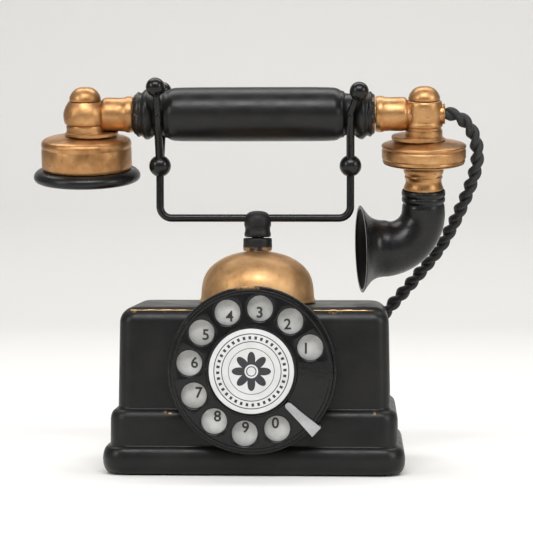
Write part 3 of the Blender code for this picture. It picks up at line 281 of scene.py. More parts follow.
def lathe(profile, steps=96, place=None, closed=True):
    """Spins a (radius, height) outline in millimetres about Z, then moves it by place."""
    bm = bmesh.new()
    dots = [bm.verts.new((r * MM, 0, z * MM)) for r, z in profile]
    for a, b in zip(dots, dots[1:]):
        bm.edges.new((a, b))
    if closed:
        bm.edges.new((dots[-1], dots[0]))
    bmesh.ops.spin(bm, geom=bm.verts[:] + bm.edges[:], axis=(0, 0, 1), cent=(0, 0, 0), steps=steps,
                   angle=2 * math.pi, use_merge=True)
    bmesh.ops.remove_doubles(bm, verts=bm.verts, dist=1e-6)
    bmesh.ops.recalc_face_normals(bm, faces=bm.faces)
    if place is not None:
        bmesh.ops.transform(bm, matrix=place, verts=bm.verts)
    return bm


def bar(radius, bottom, top, steps=48, axis="Z", at=(0, 0, 0)):
    """A plain round bar, used as a drill: along Z, or forward from the back to the front along -Y."""
    place = Matrix.Translation(Vector(at) * MM)
    if axis == "-Y":
        place = place @ Matrix.Rotation(math.radians(90), 4, "X")
    return lathe([(0, bottom), (radius, bottom), (radius, top), (0, top)], steps, place, closed=False)


casing_bm = cut(casing_bm, bar(21.4, 30, 70, 64, "-Y", (0, 0, 53.5)), bar(5.95, 70, 90),
                bar(4.45, 70, 90, 32, "Z", (19, 12, 0)), bar(4.35, -60, -30, 32, "-Y", (60, 0, 50)),
                bar(4.85, -60, -30, 32, "-Y", (-48, 0, 22.5)))


def add(tree, kind, **values):
    made = tree.nodes.new(kind)
    for key, value in values.items():
        if hasattr(made, key):
            setattr(made, key, value)
        else:
            made.inputs[key.replace("_", " ").title()].default_value = value
    return made


def cloud(tree, size, detail=6.0, rough=0.6, stretch=(1, 1, 1), offset=(0, 0, 0)):
    """Noise on object coordinates whose blotches are about size metres across."""
    place = add(tree, "ShaderNodeTexCoord")
    spread = add(tree, "ShaderNodeMapping")
    spread.inputs["Scale"].default_value = stretch
    spread.inputs["Location"].default_value = offset
    tree.links.new(place.outputs["Object"], spread.inputs["Vector"])
    noise = add(tree, "ShaderNodeTexNoise", Scale=1.0 / size, Detail=detail, Roughness=rough)
    tree.links.new(spread.outputs["Vector"], noise.inputs["Vector"])
    return noise.outputs["Fac"]


def ramp(tree, source, stops):
    made = add(tree, "ShaderNodeValToRGB")
    while len(made.color_ramp.elements) < len(stops):
        made.color_ramp.elements.new(0.5)
    for element, (place, colour) in zip(made.color_ramp.elements, stops):
        element.position = place
        element.color = (*colour, 1) if isinstance(colour, tuple) else (colour, colour, colour, 1)
    tree.links.new(source, made.inputs["Fac"])
    return made.outputs["Color"]


def math_of(tree, operation, a, b=None, clamp=False):
    made = add(tree, "ShaderNodeMath")
    made.operation = operation
    made.use_clamp = clamp
    for slot, value in ((0, a), (1, b)):
        if isinstance(value, (int, float)):
            made.inputs[slot].default_value = value
        elif value is not None:
            tree.links.new(value, made.inputs[slot])
    return made.outputs[0]


def mixed(tree, factor, first, second):
    made = add(tree, "ShaderNodeMix")
    made.data_type = "RGBA"
    tree.links.new(factor, made.inputs["Factor"])
    for slot, value in (("A", first), ("B", second)):
        where = [s for s in made.inputs if s.name == slot and s.type == "RGBA"][0]
        if isinstance(value, tuple):
            where.default_value = (*value, 1)
        else:
            tree.links.new(value, where)
    return [s for s in made.outputs if s.type == "RGBA"][0]


def coordinate(tree, axis):
    place = add(tree, "ShaderNodeTexCoord")
    apart = add(tree, "ShaderNodeSeparateXYZ")
    tree.links.new(place.outputs["Object"], apart.inputs["Vector"])
    return apart.outputs[axis]


def band(tree, value, low, high, soft):
    """1 between low and high, fading to 0 over soft either side."""
    rise = add(tree, "ShaderNodeMapRange")
    rise.inputs["From Min"].default_value = low - soft
    rise.inputs["From Max"].default_value = low
    fall = add(tree, "ShaderNodeMapRange")
    fall.inputs["From Min"].default_value = high
    fall.inputs["From Max"].default_value = high + soft
    fall.inputs["To Min"].default_value = 1.0
    fall.inputs["To Max"].default_value = 0.0
    tree.links.new(value, rise.inputs["Value"])
    tree.links.new(value, fall.inputs["Value"])
    return math_of(tree, "MULTIPLY", rise.outputs[0], fall.outputs[0])


def grain(tree, shader, height, depth, strength=0.35):
    bump = add(tree, "ShaderNodeBump", Strength=strength, Distance=depth)
    tree.links.new(height, bump.inputs["Height"])
    tree.links.new(bump.outputs["Normal"], shader.inputs["Normal"])


def new_finish(name, metallic=0.0, coat=0.0, coat_roughness=0.2):
    made = bpy.data.materials.new(name)
    made.use_nodes = True
    shader = made.node_tree.nodes["Principled BSDF"]
    shader.inputs["Metallic"].default_value = metallic
    shader.inputs["Coat Weight"].default_value = coat
    shader.inputs["Coat Roughness"].default_value = coat_roughness
    return made, made.node_tree, shader


def black_paint(name, rubs=(), sheen=(0.30, 0.46), dark=(0.0030, 0.0030, 0.0031),
                light=(0.0105, 0.0098, 0.0092)):
    """Satin black. Each rub is (axis, low, high, soft, amount): a band where the brass shows through."""
    made, tree, shader = new_finish(name)
    shader.inputs["Specular IOR Level"].default_value = 0.30
    blotch = cloud(tree, 0.018)
    paint = ramp(tree, blotch, [(0.3, dark), (0.72, light)])
    worn = None
    for axis, low, high, soft, amount in rubs:
        place = band(tree, coordinate(tree, axis), low, high, soft)
        patch = ramp(tree, cloud(tree, 0.006, 8.0, 0.7, offset=(low, high, 0.3)),
                     [(0.62 - amount, 0.0), (0.70 - amount * 0.8, 1.0)])
        this = math_of(tree, "MULTIPLY", place, patch)
        worn = this if worn is None else math_of(tree, "MAXIMUM", worn, this)
    if worn is not None:
        paint = mixed(tree, worn, paint, (0.40, 0.235, 0.105))
        tree.links.new(math_of(tree, "MULTIPLY", worn, 0.85), shader.inputs["Metallic"])
    tree.links.new(paint, shader.inputs["Base Color"])
    tree.links.new(ramp(tree, cloud(tree, 0.011, 5.0), [(0.3, sheen[0]), (0.7, sheen[1])]),
                   shader.inputs["Roughness"])
    grain(tree, shader, cloud(tree, 0.0030, 5.0), 0.00030, 0.35)
    return made


def piece(name, bm, finish, body, slot, *stands_for, corner=0.0, corners=2, smooth=35.0):
    """Places a bmesh as one piece of the telephone. corner rounds its sharp edges by that many metres."""
    bmesh.ops.recalc_face_normals(bm, faces=bm.faces)
    mesh = bpy.data.meshes.new(name)
    bm.to_mesh(mesh)
    bm.free()
    mesh.shade_smooth()
    mesh.set_sharp_from_angle(angle=math.radians(smooth))
    made = bpy.data.objects.new(name, mesh)
    bpy.context.collection.objects.link(made)
    mesh.materials.append(finish)
    if corner:
        rounding = made.modifiers.new("rounding", "BEVEL")
        rounding.width = corner
        rounding.segments = corners
        rounding.limit_method = "ANGLE"
        rounding.angle_limit = math.radians(28)
        rounding.harden_normals = True
    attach(made, body)
    if stands_for:
        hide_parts(*stands_for)
    return made


casing_paint = black_paint("casing_black",
                           rubs=((2, 0.0812, 0.0824, 0.0008, 0.03), (2, 0.0310, 0.0326, 0.0006, 0.0)))
piece("casing_shell", casing_bm, casing_paint, "base", "black_paint", "casing", smooth=40)


# ---------------------------------------------------------------- worn front edge of the casing
# Where the top turns down to the front the paint is gone in two long streaks, one either side of the dial.
# Each is a thin bead of bright brass, less than half a millimetre proud of the paint.


def bare_metal(name, colour, sheen=(0.22, 0.4)):
    made, tree, shader = new_finish(name, metallic=1.0)
    dull = tuple(c * 0.6 for c in colour)
    tree.links.new(ramp(tree, cloud(tree, 0.008), [(0.3, dull), (0.65, colour)]), shader.inputs["Base Color"])
    tree.links.new(ramp(tree, cloud(tree, 0.003), [(0.3, sheen[0]), (0.7, sheen[1])]),
                   shader.inputs["Roughness"])
    grain(tree, shader, cloud(tree, 0.001, 2.0, stretch=(1, 8, 1)), 0.00003, 0.2)
    return made


streak_brass = bare_metal("streak_brass", (0.80, 0.50, 0.24), (0.25, 0.45))
for name, first, last in (("left_streak", -62.0, -29.0), ("right_streak", 30.0, 60.5)):
    streak = bmesh.new()
    angle = math.radians(52)
    y = -(SKIRT_Y - BOX_INSET - TOP_ROUND * (1 - math.cos(angle)))
    z = CASING_TOP - TOP_ROUND + TOP_ROUND * math.sin(angle)
    stations = []
    for i in range(13):
        share = i / 12
        wide = 0.42 * math.sin(math.pi * min(1, max(0.08, share))) ** 0.4 * (0.75 + 0.35 * math.sin(i * 2.1))
        x = first + (last - first) * share
        ring = [streak.verts.new(Vector((x, y - 0.03 - 0.10 * math.cos(t), z + wide * math.sin(t))) * MM)
                for t in (2 * math.pi * k / 8 for k in range(8))]
        stations.append([streak.edges.new((a, b)) for a, b in zip(ring, ring[1:] + ring[:1])])
    for low, high in zip(stations, stations[1:]):
        bmesh.ops.bridge_loops(streak, edges=low + high)
    for end in (stations[0], stations[-1]):
        bmesh.ops.contextual_create(streak, geom=end)
    piece(name, streak, streak_brass, "base", "brass", smooth=60)


# ---------------------------------------------------------------- underside
# A steel plate with a dark felt pad glued under it, held by four screws that sit in wells in the felt.
felt = bpy.data.materials.new("dark_felt")
felt.use_nodes = True
felt_shader = felt.node_tree.nodes["Principled BSDF"]
felt.node_tree.links.new(ramp(felt.node_tree, cloud(felt.node_tree, 0.0012),
                              [(0.3, (0.012, 0.022, 0.015)), (0.7, (0.03, 0.05, 0.035))]),
                         felt_shader.inputs["Base Color"])
felt_shader.inputs["Roughness"].default_value = 0.95
felt_shader.inputs["Sheen Weight"].default_value = 0.4
grain(felt.node_tree, felt_shader, cloud(felt.node_tree, 0.0005), 0.0003, 0.6)


def recoat(finish, *names):
    """Gives CAD nodes that stay in view this finish."""
    for name in names:
        for slot in bpy.data.objects[name].material_slots:
            slot.material = finish


recoat(felt, "felt_pad")
plated = bare_metal("plated_steel", (0.55, 0.55, 0.56))
recoat(plated, "base_plate", "base_screw_1", "base_screw_2", "base_screw_3", "base_screw_4", "guide_tube",
       "post_nut", "hook_bracket", "hook_pin", "cradle_spring", "dial_spindle", "governor_shaft",
       "governor_drum", "return_spring", "ringer_frame", "clapper", "receiver_capsule", "transmitter_capsule")


# ---------------------------------------------------------------- works inside the casing
# Brass dial works and switch leaves, copper windings on the ringer and the induction coil, and blocks moulded
# in brown resin.
clock_brass = bare_metal("clock_brass", (0.72, 0.50, 0.20))
recoat(clock_brass, "dial_frame", "main_gear", "pulse_contacts", "hook_lever", "hook_contacts", "handle_tube")
winding = bare_metal("copper_winding", (0.62, 0.25, 0.12))
recoat(winding, "ringer_coil_left", "ringer_coil_right", "induction_coil")
moulded = bpy.data.materials.new("brown_moulding")
moulded.use_nodes = True
moulded_tree = moulded.node_tree
moulded_tree.links.new(ramp(moulded_tree, cloud(moulded_tree, 0.004),
                            [(0.3, (0.10, 0.035, 0.015)), (0.7, (0.19, 0.08, 0.035))]),
                       moulded_tree.nodes["Principled BSDF"].inputs["Base Color"])
recoat(moulded, "pulse_cam", "terminal_block")


# ---------------------------------------------------------------- bell gong
# A spun bronze bell with a slightly flared lip, held down on the post by a black collar.


def bronze(name, light=(0.62, 0.355, 0.155), middle=(0.38, 0.190, 0.070), dark=(0.13, 0.058, 0.018),
           sheen=(0.30, 0.50)):
    made, tree, shader = new_finish(name, metallic=0.92, coat=0.15, coat_roughness=0.3)
    tone = ramp(tree, cloud(tree, 0.014, 8.0, 0.62), [(0.22, dark), (0.45, middle), (0.75, light)])
    speck = ramp(tree, cloud(tree, 0.0022, 4.0, 0.7, offset=(0.2, 0.1, 0.4)), [(0.28, 1.0), (0.36, 0.0)])
    tree.links.new(mixed(tree, speck, tone, (0.10, 0.045, 0.018)), shader.inputs["Base Color"])
    tree.links.new(ramp(tree, cloud(tree, 0.006, 6.0), [(0.3, sheen[0]), (0.7, sheen[1])]),
                   shader.inputs["Roughness"])
    grain(tree, shader, cloud(tree, 0.0042, 6.0), 0.00045, 0.45)
    return made


gong_lacquer = bronze("gong_lacquer", light=(0.70, 0.43, 0.21), middle=(0.50, 0.28, 0.115),
                      dark=(0.24, 0.115, 0.040), sheen=(0.42, 0.60))
gong_outline = [(30.35, 84.7), (30.5, 85.1), (30.35, 85.6), (29.75, 86.2), (29.45, 87.2), (29.3, 89.0),
                (29.15, 91.5), (28.8, 94.0), (28.2, 96.6), (27.3, 98.8), (26.1, 100.8), (24.4, 102.9),
                (22.4, 104.7), (19.8, 106.5), (16.8, 108.1), (13.4, 109.4), (10.0, 110.3), (7.6, 110.75),
                (6.0, 110.95)]
gong_inside = [(28.4, 84.7)] + [(max(6.0, r - (1.3 if z < 104 else 0.7)), z - (0.2 if z < 96 else 1.2))
                                for r, z in gong_outline[5:]]
piece("bell_gong", lathe(gong_outline + gong_inside[::-1], 128), gong_lacquer, "base", "bronze", "gong",
      smooth=50)
collar_paint = black_paint("collar_black", rubs=((2, 0.1100, 0.1124, 0.0012, 0.20),), sheen=(0.4, 0.6))


def arc(cx, cz, radius, start, end, count=6):
    """Points round an arc, in degrees from +radius towards +height."""
    return [(cx + radius * math.cos(math.radians(start + (end - start) * i / count)),
             cz + radius * math.sin(math.radians(start + (end - start) * i / count)))
             for i in range(count + 1)]


collar = [(5.95, 111.3), (7.0, 111.3), (7.25, 111.45), (7.35, 111.8), (7.5, 112.3), (7.55, 113.8),
          (7.45, 115.4), *arc(6.5, 117.0, 1.0, 10, 90, 5), (5.95, 118.0)]
piece("bell_collar", lathe(collar, 72), collar_paint, "base", "black_paint", "gong_collar", smooth=40)


# ---------------------------------------------------------------- cradle
# Bent black rod in a turned head that slides in the post. At each end a ball carries two horns, and each
# horn ends in a small ball. Fingers have rubbed the balls and the head's shoulders.
cradle_gloss = black_paint("cradle_black", rubs=((2, 0.1990, 0.2004, 0.0006, 0.10),), sheen=(0.16, 0.32),
                           dark=(0.0028, 0.0028, 0.0029), light=(0.0075, 0.0072, 0.0070))
BAR_Z, ROD_R, BEND, FORK_Z, FORK_R = 128.3, 2.0, 6.0, 155.4, 5.7
HANDLE_Z, NECK_REACH, HORN_Y, HORN_R = 182.2, 13.2, 18.7, 4.9
FORKS = (("left_fork", -50.9, -0.6, 195.4), ("right_fork", 48.2, 4.5, 193.0))


def round_bar(bm, line, radii, sides=20):
    """A round bar swept along points in millimetres, closed at both ends."""
    line = [Vector(p) for p in line]
    side, hoops = None, []
    for i, point in enumerate(line):
        ahead = (line[min(i + 1, len(line) - 1)] - line[max(i - 1, 0)]).normalized()
        start = side or (Vector((0, 1, 0)) if abs(ahead.y) < 0.9 else Vector((1, 0, 0)))
        side = (start - ahead * start.dot(ahead)).normalized()
        turned_to = Matrix((side, ahead.cross(side), ahead)).transposed().to_4x4()
        hoop = bmesh.ops.create_circle(bm, segments=sides, radius=radii[i] * MM,
                                       matrix=Matrix.Translation(point * MM) @ turned_to)["verts"]
        hoops.append(list({e for v in hoop for e in v.link_edges}))
    for low, high in zip(hoops, hoops[1:]):
        bmesh.ops.bridge_loops(bm, edges=low + high)
    for end in (hoops[0], hoops[-1]):
        bmesh.ops.contextual_create(bm, geom=end)
    return bm


rod_line = [Vector((0, 0, BAR_Z))]
for _, x, _, _ in FORKS:
    inward = math.copysign(BEND, x)
    half = [Vector((x - inward * (1 - math.sin(a)), 0, BAR_Z + BEND * (1 - math.cos(a))))
            for a in (math.pi / 2 * i / 12 for i in range(13))] + [Vector((x, 0, FORK_Z - 1.4))]
    rod_line = half[::-1] + rod_line if x < 0 else rod_line + half
piece("cradle_rod", round_bar(bmesh.new(), rod_line, [ROD_R] * len(rod_line), 24), cradle_gloss, "cradle",
      "gloss_black", "cradle_bar")
for name, x, lean_out, ball_z in FORKS:
    fork = bmesh.new()
    bmesh.ops.create_uvsphere(fork, u_segments=40, v_segments=28, radius=FORK_R * MM,
                              matrix=Matrix.Translation(Vector((x, 0, FORK_Z)) * MM))
    lean = math.asin(NECK_REACH / (HANDLE_Z - FORK_Z - 4.0))
    for face in (-1, 1):
        line = [Vector((x, face * 0.6, FORK_Z + 2.0))]
        for i in range(7):
            a = math.pi / 2 - lean + lean * i / 6
            line.append(Vector((x, face * NECK_REACH * math.sin(a), HANDLE_Z - NECK_REACH * math.cos(a))))
        top = Vector((x + lean_out, face * HORN_Y, ball_z))
        line += [line[-1].lerp(top, 0.5) + Vector((0, -face * 0.5, 0.4)), top]
        path = smooth_line(line, 5)
        round_bar(fork, path, [2.2 - 0.35 * min(1, i / 12) for i in range(len(path))], 20)
        bmesh.ops.create_uvsphere(fork, u_segments=36, v_segments=24, radius=HORN_R * MM,
                                  matrix=Matrix.Translation(top * MM))
    piece(name + "_horns", fork, cradle_gloss, "cradle", "gloss_black", name, smooth=50)
head_paint = black_paint("head_black", rubs=((2, 0.1181, 0.1187, 0.0004, 0.08),), sheen=(0.38, 0.6))
head = [(0, 64), (7.5, 64), (7.5, 66), (3.2, 66), (3.2, 118.4), (6.1, 118.4), (6.5, 118.55), (6.85, 119.0),
        (6.95, 119.9), (6.8, 120.7), (6.55, 121.4), (6.5, 122.4), (6.6, 123.6), (6.9, 124.1), (7.0, 125.0),
        (7.0, 126.6), (6.8, 128.2), (6.3, 129.6), (5.4, 130.7), (4.1, 131.5), (2.3, 131.95), (0, 132.1)]
head_bm = cut(lathe(head, 72, closed=False),
              lathe([(0, -12), (2.45, -12), (2.45, 12), (0, 12)], 32,
                    Matrix.Translation((0, 0, BAR_Z * MM)) @ Matrix.Rotation(math.radians(90), 4, "Y"),
                    closed=False))
piece("cradle_head", head_bm, head_paint, "cradle", "black_paint", "cradle_stem", smooth=40)


# ---------------------------------------------------------------- cord outlet and line inlet
# A bronze elbow screwed to the casing's back takes the handset cord in from above, and a rubber grommet below
# it is for the line.
outlet_bronze = bronze("outlet_bronze", dark=(0.16, 0.08, 0.03))
recoat(outlet_bronze, "cord_gland")
recoat(black_paint("grommet_black", sheen=(0.5, 0.6)), "line_inlet")


# ---------------------------------------------------------------- dial
# A shallow black case stands off the casing on a hub, with a silvery number plate in it. Over the plate turns
# a gloss finger wheel with ten bevelled holes and a raised centre.
DIAL_Z, HOLE_R, HOLE_RING, FIRST, PITCH = 53.5, 6.35, 31.1, 22.0, 30.2
facing = Matrix.Translation((0, 0, DIAL_Z * MM)) @ Matrix.Rotation(math.radians(90), 4, "X")
dial_black = black_paint("dial_black", sheen=(0.17, 0.30), dark=(0.0026, 0.0026, 0.0027),
                         light=(0.0065, 0.0062, 0.0060))
case_outline = [(3.4, 55.5), (39.6, 55.5), (39.7, 55.6), (39.7, 57.4), *arc(40.2, 57.2, 0.4, 90, 90, 1),
                *arc(41.1, 57.0, 0.6, 90, 0, 4), (41.7, 54.0), (41.5, 53.5), (41.1, 53.3), (30.4, 53.3),
                (30.0, 53.0), (30.0, 49.3), (21.0, 49.3), (21.0, 38.0), (18.5, 38.0), (18.5, 51.8),
                (3.4, 51.8)]
dial_case_paint = black_paint("dial_case_black", rubs=((2, 0.0937, 0.0955, 0.0004, 0.12),),
                              sheen=(0.22, 0.36))
piece("dial_housing", lathe(case_outline, 128, facing), dial_case_paint, "base", "black_paint", "dial_case",
      smooth=35)

plate_silver, plate_tree, plate_shader = new_finish("plate_silver", metallic=0.35)
plate_tree.links.new(ramp(plate_tree, cloud(plate_tree, 0.012, 8.0),
                          [(0.3, (0.36, 0.355, 0.34)), (0.7, (0.62, 0.62, 0.60))]),
                          plate_shader.inputs["Base Color"])
plate_tree.links.new(ramp(plate_tree, cloud(plate_tree, 0.004), [(0.3, 0.38), (0.7, 0.55)]),
                     plate_shader.inputs["Roughness"])
piece("dial_number_plate", lathe([(8.4, 55.8), (39.3, 55.8), (39.3, 56.7), (8.4, 56.7)], 128, facing),
      plate_silver, "base", "silver", "number_plate")

wheel_outline = [(3.3, 57.5), (8.0, 57.5), (8.0, 58.6), (39.7, 58.6), (40.1, 58.8), (40.2, 59.2),
                 (40.2, 59.9), (40.0, 60.4), (39.5, 60.6), (38.6, 60.6), (38.3, 60.5), (37.9, 60.6),
                 (23.4, 60.6), (22.9, 60.75), (22.7, 61.1), (22.6, 61.9), (22.3, 62.2), (3.3, 62.2)]
drills = []
for number in range(10):
    angle = math.radians(FIRST + PITCH * number)
    centre = Vector((HOLE_RING * math.cos(angle), HOLE_RING * math.sin(angle), 0)) * MM
    at = facing @ Matrix.Translation(centre)
    drills.append(lathe([(0, 57.0), (HOLE_R, 57.0), (HOLE_R, 59.9), (HOLE_R + 0.18, 60.25),
                         (HOLE_R + 0.5, 60.5), (HOLE_R + 0.85, 60.62),
                         (HOLE_R + 0.85, 61.6), (0, 61.6)], 56, at, closed=False))
piece("finger_wheel_disc", cut(lathe(wheel_outline, 144, facing), *drills), dial_black, "dial", "gloss_black",
      "finger_wheel", smooth=30)


# ---------------------------------------------------------------- numbers
# Plain black figures printed on the number plate, one behind each hole and a little towards the middle.
FIGURE_RING, FIGURE_HEIGHT, FIGURE_Z = 28.7, 7.4, 56.79
ink = bpy.data.materials.new("number_ink")
ink.use_nodes = True
ink_tree = ink.node_tree
ink_tree.links.new(ramp(ink_tree, cloud(ink_tree, 0.002),
                        [(0.3, (0.012, 0.012, 0.013)), (0.7, (0.030, 0.029, 0.028))]),
                   ink_tree.nodes["Principled BSDF"].inputs["Base Color"])
ink_tree.nodes["Principled BSDF"].inputs["Roughness"].default_value = 0.5
for number in range(10):
    figure = bpy.data.curves.new("figure", "FONT")
    figure.body = str((number + 1) % 10)
    figure.size = FIGURE_HEIGHT * MM
    figure.align_x, figure.align_y = "CENTER", "CENTER"
    figure.extrude = 0.05 * MM
    figure.offset = 0.00015
    draft = bpy.data.objects.new("figure", figure)
    bpy.context.collection.objects.link(draft)
    bpy.context.view_layer.update()
    shape = bmesh.new()
    shape.from_mesh(draft.evaluated_get(bpy.context.evaluated_depsgraph_get()).to_mesh())
    bpy.data.objects.remove(draft)
    angle = math.radians(FIRST + PITCH * number)
    middle = Vector((FIGURE_RING * math.cos(angle), FIGURE_RING * math.sin(angle), FIGURE_Z)) * MM
    bmesh.ops.transform(shape, matrix=facing @ Matrix.Translation(middle), verts=shape.verts)
    piece(f"figure_{(number + 1) % 10}", shape, ink, "base", "black_paint", smooth=30)


# ---------------------------------------------------------------- number card
# White card printed in black with plain rings, a ring of small leaves and a filled eight-petal rosette.
card, card_tree, card_shader = new_finish("white_card")
across = add(card_tree, "ShaderNodeTexCoord")
placed = add(card_tree, "ShaderNodeMapping")
placed.inputs["Location"].default_value = (0, 0, -DIAL_Z * MM)
card_tree.links.new(across.outputs["Object"], placed.inputs["Vector"])
parts = add(card_tree, "ShaderNodeSeparateXYZ")
card_tree.links.new(placed.outputs["Vector"], parts.inputs["Vector"])
x, z = parts.outputs["X"], parts.outputs["Z"]
radius = math_of(card_tree, "SQRT", math_of(card_tree, "ADD", math_of(card_tree, "MULTIPLY", x, x),
                                            math_of(card_tree, "MULTIPLY", z, z)))
angle_of = math_of(card_tree, "ARCTAN2", z, x)
printed = band(card_tree, radius, 0.01825, 0.01865, 0.00008)
printed = math_of(card_tree, "MAXIMUM", printed, band(card_tree, radius, 0.01445, 0.01480, 0.00008))
leaf = math_of(card_tree, "SINE", math_of(card_tree, "MULTIPLY", angle_of, 36.0))
leaf_row = math_of(card_tree, "MULTIPLY", math_of(card_tree, "GREATER_THAN", leaf, 0.15),
                   band(card_tree, radius, 0.0158, 0.0173, 0.0001))
printed = math_of(card_tree, "MAXIMUM", printed, leaf_row)
petal = math_of(card_tree, "COSINE", math_of(card_tree, "MULTIPLY", angle_of, 4.0))
petal = math_of(card_tree, "ABSOLUTE", petal)
edge = math_of(card_tree, "ADD", math_of(card_tree, "MULTIPLY", petal, 0.0048), 0.0048)
rosette = band(card_tree, math_of(card_tree, "SUBTRACT", radius, edge), -0.02, 0.0, 0.0001)
rosette = math_of(card_tree, "MULTIPLY", rosette, band(card_tree, radius, 0.0034, 0.02, 0.0001))
printed = math_of(card_tree, "MAXIMUM", printed, rosette)
printed = math_of(card_tree, "MAXIMUM", printed, band(card_tree, radius, 0.0021, 0.0025, 0.0001))
printed = math_of(card_tree, "MAXIMUM", printed, band(card_tree, radius, 0.0112, 0.0114, 0.0001))
stain = ramp(card_tree, cloud(card_tree, 0.011, 6.0),
             [(0.25, (0.50, 0.495, 0.475)), (0.6, (0.60, 0.60, 0.60))])
card_tree.links.new(mixed(card_tree, printed, stain, (0.022, 0.022, 0.025)), card_shader.inputs["Base Color"])
card_tree.links.new(ramp(card_tree, cloud(card_tree, 0.002), [(0.3, 0.55), (0.7, 0.75)]),
                    card_shader.inputs["Roughness"])
piece("dial_card", lathe([(0, 62.5), (20.85, 62.5), (21.0, 62.6), (21.0, 62.95), (20.8, 63.1), (0, 63.1)], 96,
                         facing, closed=False),
      card, "dial", "card", "number_card")
piece("card_ring", lathe([(21.3, 62.5), (22.6, 62.5), (22.6, 62.9), (22.35, 63.3), (21.9, 63.4),
                          (21.45, 63.25), (21.3, 62.95)], 112, facing),
      dial_black, "dial", "gloss_black", "card_bezel")


# ---------------------------------------------------------------- finger stop
# A tapered strip of plated steel over the wheel, folded back over the edge of the case.
stop_silver = bare_metal("stop_silver", (0.50, 0.50, 0.51), (0.30, 0.48))
stop_silver.node_tree.nodes["Principled BSDF"].inputs["Metallic"].default_value = 0.75
STOP_ANGLE, STRIP_UNDER, SHEET = math.radians(-43), 61.6, 1.15
stop = bmesh.new()
strip = [(23.4, -0.6), (23.8, -1.3), (24.8, -1.7), (34.0, -2.3), (42.6, -3.1), (43.9, -3.2), (43.9, 3.2),
         (42.6, 3.1), (34.0, 2.3), (24.8, 1.7), (23.8, 1.3), (23.4, 0.6)]
ring = [stop.verts.new(Vector((u, v, STRIP_UNDER)) * MM) for u, v in strip]
sheet_face = stop.faces.new(ring)
lifted = bmesh.ops.extrude_face_region(stop, geom=[sheet_face])["geom"]
bmesh.ops.translate(stop, verts=[v for v in lifted if isinstance(v, bmesh.types.BMVert)],
                    vec=(0, 0, SHEET * MM))
fold = bmesh.ops.create_cube(stop, size=1.0)["verts"]
bmesh.ops.scale(stop, verts=fold, vec=(SHEET * MM, 6.3 * MM, 8.9 * MM))
bmesh.ops.translate(stop, verts=fold, vec=(43.28 * MM, 0, 57.95 * MM))
bmesh.ops.transform(stop, matrix=facing @ Matrix.Rotation(STOP_ANGLE, 4, "Z"), verts=stop.verts)
piece("finger_stop_strip", stop, stop_silver, "base", "silver", "finger_stop", corner=0.00025, corners=3)


# ---------------------------------------------------------------- handle
# A black turned grip with a waist, a bead and a small ring at each end. It is what a hand holds, so its beads
# are rubbed. The whole handset rolls a little on the cradle, towards the front.
HANDSET_X, HANDSET_ROLL, GRIP_HALF, CORE_R = -1.8, math.radians(11), 62.6, 5.6
handset = Matrix.Translation((HANDSET_X * MM, 0, HANDLE_Z * MM)) @ Matrix.Rotation(HANDSET_ROLL, 4, "X")
grip_paint = black_paint("grip_black", sheen=(0.27, 0.42),
                         rubs=((0, -0.0636, -0.0618, 0.0006, 0.06), (0, 0.0600, 0.0636, 0.0010, 0.09)))
grip_half = [(0, 14.1), (30, 14.05), (38, 13.95), (41.5, 13.75), (43.0, 13.4), (44.0, 12.9), (44.9, 12.35),
             (45.6, 12.15), (46.2, 12.1), (46.6, 11.7), (47.0, 11.15), (47.6, 10.85), (48.6, 10.75),
             (50.6, 10.75), (51.8, 10.85), (52.4, 11.2), (52.9, 11.8), (53.4, 12.1), (53.9, 12.3),
             (54.5, 12.85), (55.2, 13.1), (56.2, 13.1), (57.0, 12.7), (57.6, 12.0), (58.2, 11.45),
             (58.8, 11.2), (59.3, 11.35), (59.8, 11.7), (60.3, 11.75), (60.8, 11.45), (61.2, 10.9),
             (61.7, 10.45), (62.2, 10.2), (GRIP_HALF, 9.6)]
grip_outline = [(r, -u) for u, r in grip_half[::-1]] + [(r, u) for u, r in grip_half[1:]]
grip_outline += [(CORE_R, GRIP_HALF), (CORE_R, -GRIP_HALF)]
along_x = handset @ Matrix.Rotation(math.radians(90), 4, "Y")
piece("handle", lathe(grip_outline, 96, along_x), grip_paint, "handset", "black_paint", "handle_grip",
      smooth=50)


# ---------------------------------------------------------------- receiver
# Cast bronze: a domed finial, a barrel that the handle's arm grows out of, and a drum for the earpiece with a
# black cap over its open end.
CUP_X = 88.05
casting = bronze("handset_bronze")
at_receiver = handset @ Matrix.Translation((-CUP_X * MM, 0, 0))
at_transmitter = handset @ Matrix.Translation((CUP_X * MM, 0, 0))
finial = [(0, 7.4), (7.9, 7.4), (8.15, 7.7), (8.2, 8.4), (8.0, 9.4), (7.5, 10.5), (6.8, 11.6), (5.8, 12.7),
          (4.5, 13.6), (3.0, 14.15), (1.4, 14.38), (0, 14.42)]
arm_outline = [(0, 0), (6.6, 0), (6.75, 7.6), (7.2, 8.6), (8.4, 9.5), (8.75, 10.4), (8.85, 12.0), (8.7, 18.0),
               (8.9, 20.6), (9.3, 21.4), (9.45, 22.6), (9.3, 24.4), (8.8, 25.1), (0, 25.1)]
barrel = [(0, -10.8), (10.9, -10.8), (11.1, -10.3), (10.9, -9.6), (10.3, -9.2), (10.1, -8.4), (10.1, -6.6),
          (10.2, -5.9), (9.9, -5.3), (10.3, -4.7), (10.9, -4.4), (11.3, -3.2), (11.6, -1.2), (11.55, 0.8),
          (11.1, 2.6), (10.3, 4.4), (9.4, 5.9), (8.9, 6.6), (8.6, 7.1), (0, 7.1)]
flange = [(0, -10.75), (13.2, -10.75), (13.6, -10.4), (13.6, -9.2), (13.1, -8.8), (0, -8.8)]
toward_handle = Matrix.Rotation(math.radians(90), 4, "Y")
receiver_casting = cut(lathe(barrel, 80, closed=False), lathe(arm_outline, 64, toward_handle, closed=False),
                       lathe(flange, 64, Matrix.Translation((3.2 * MM, 0, 0.07 * MM)), closed=False),
                       how="UNION")
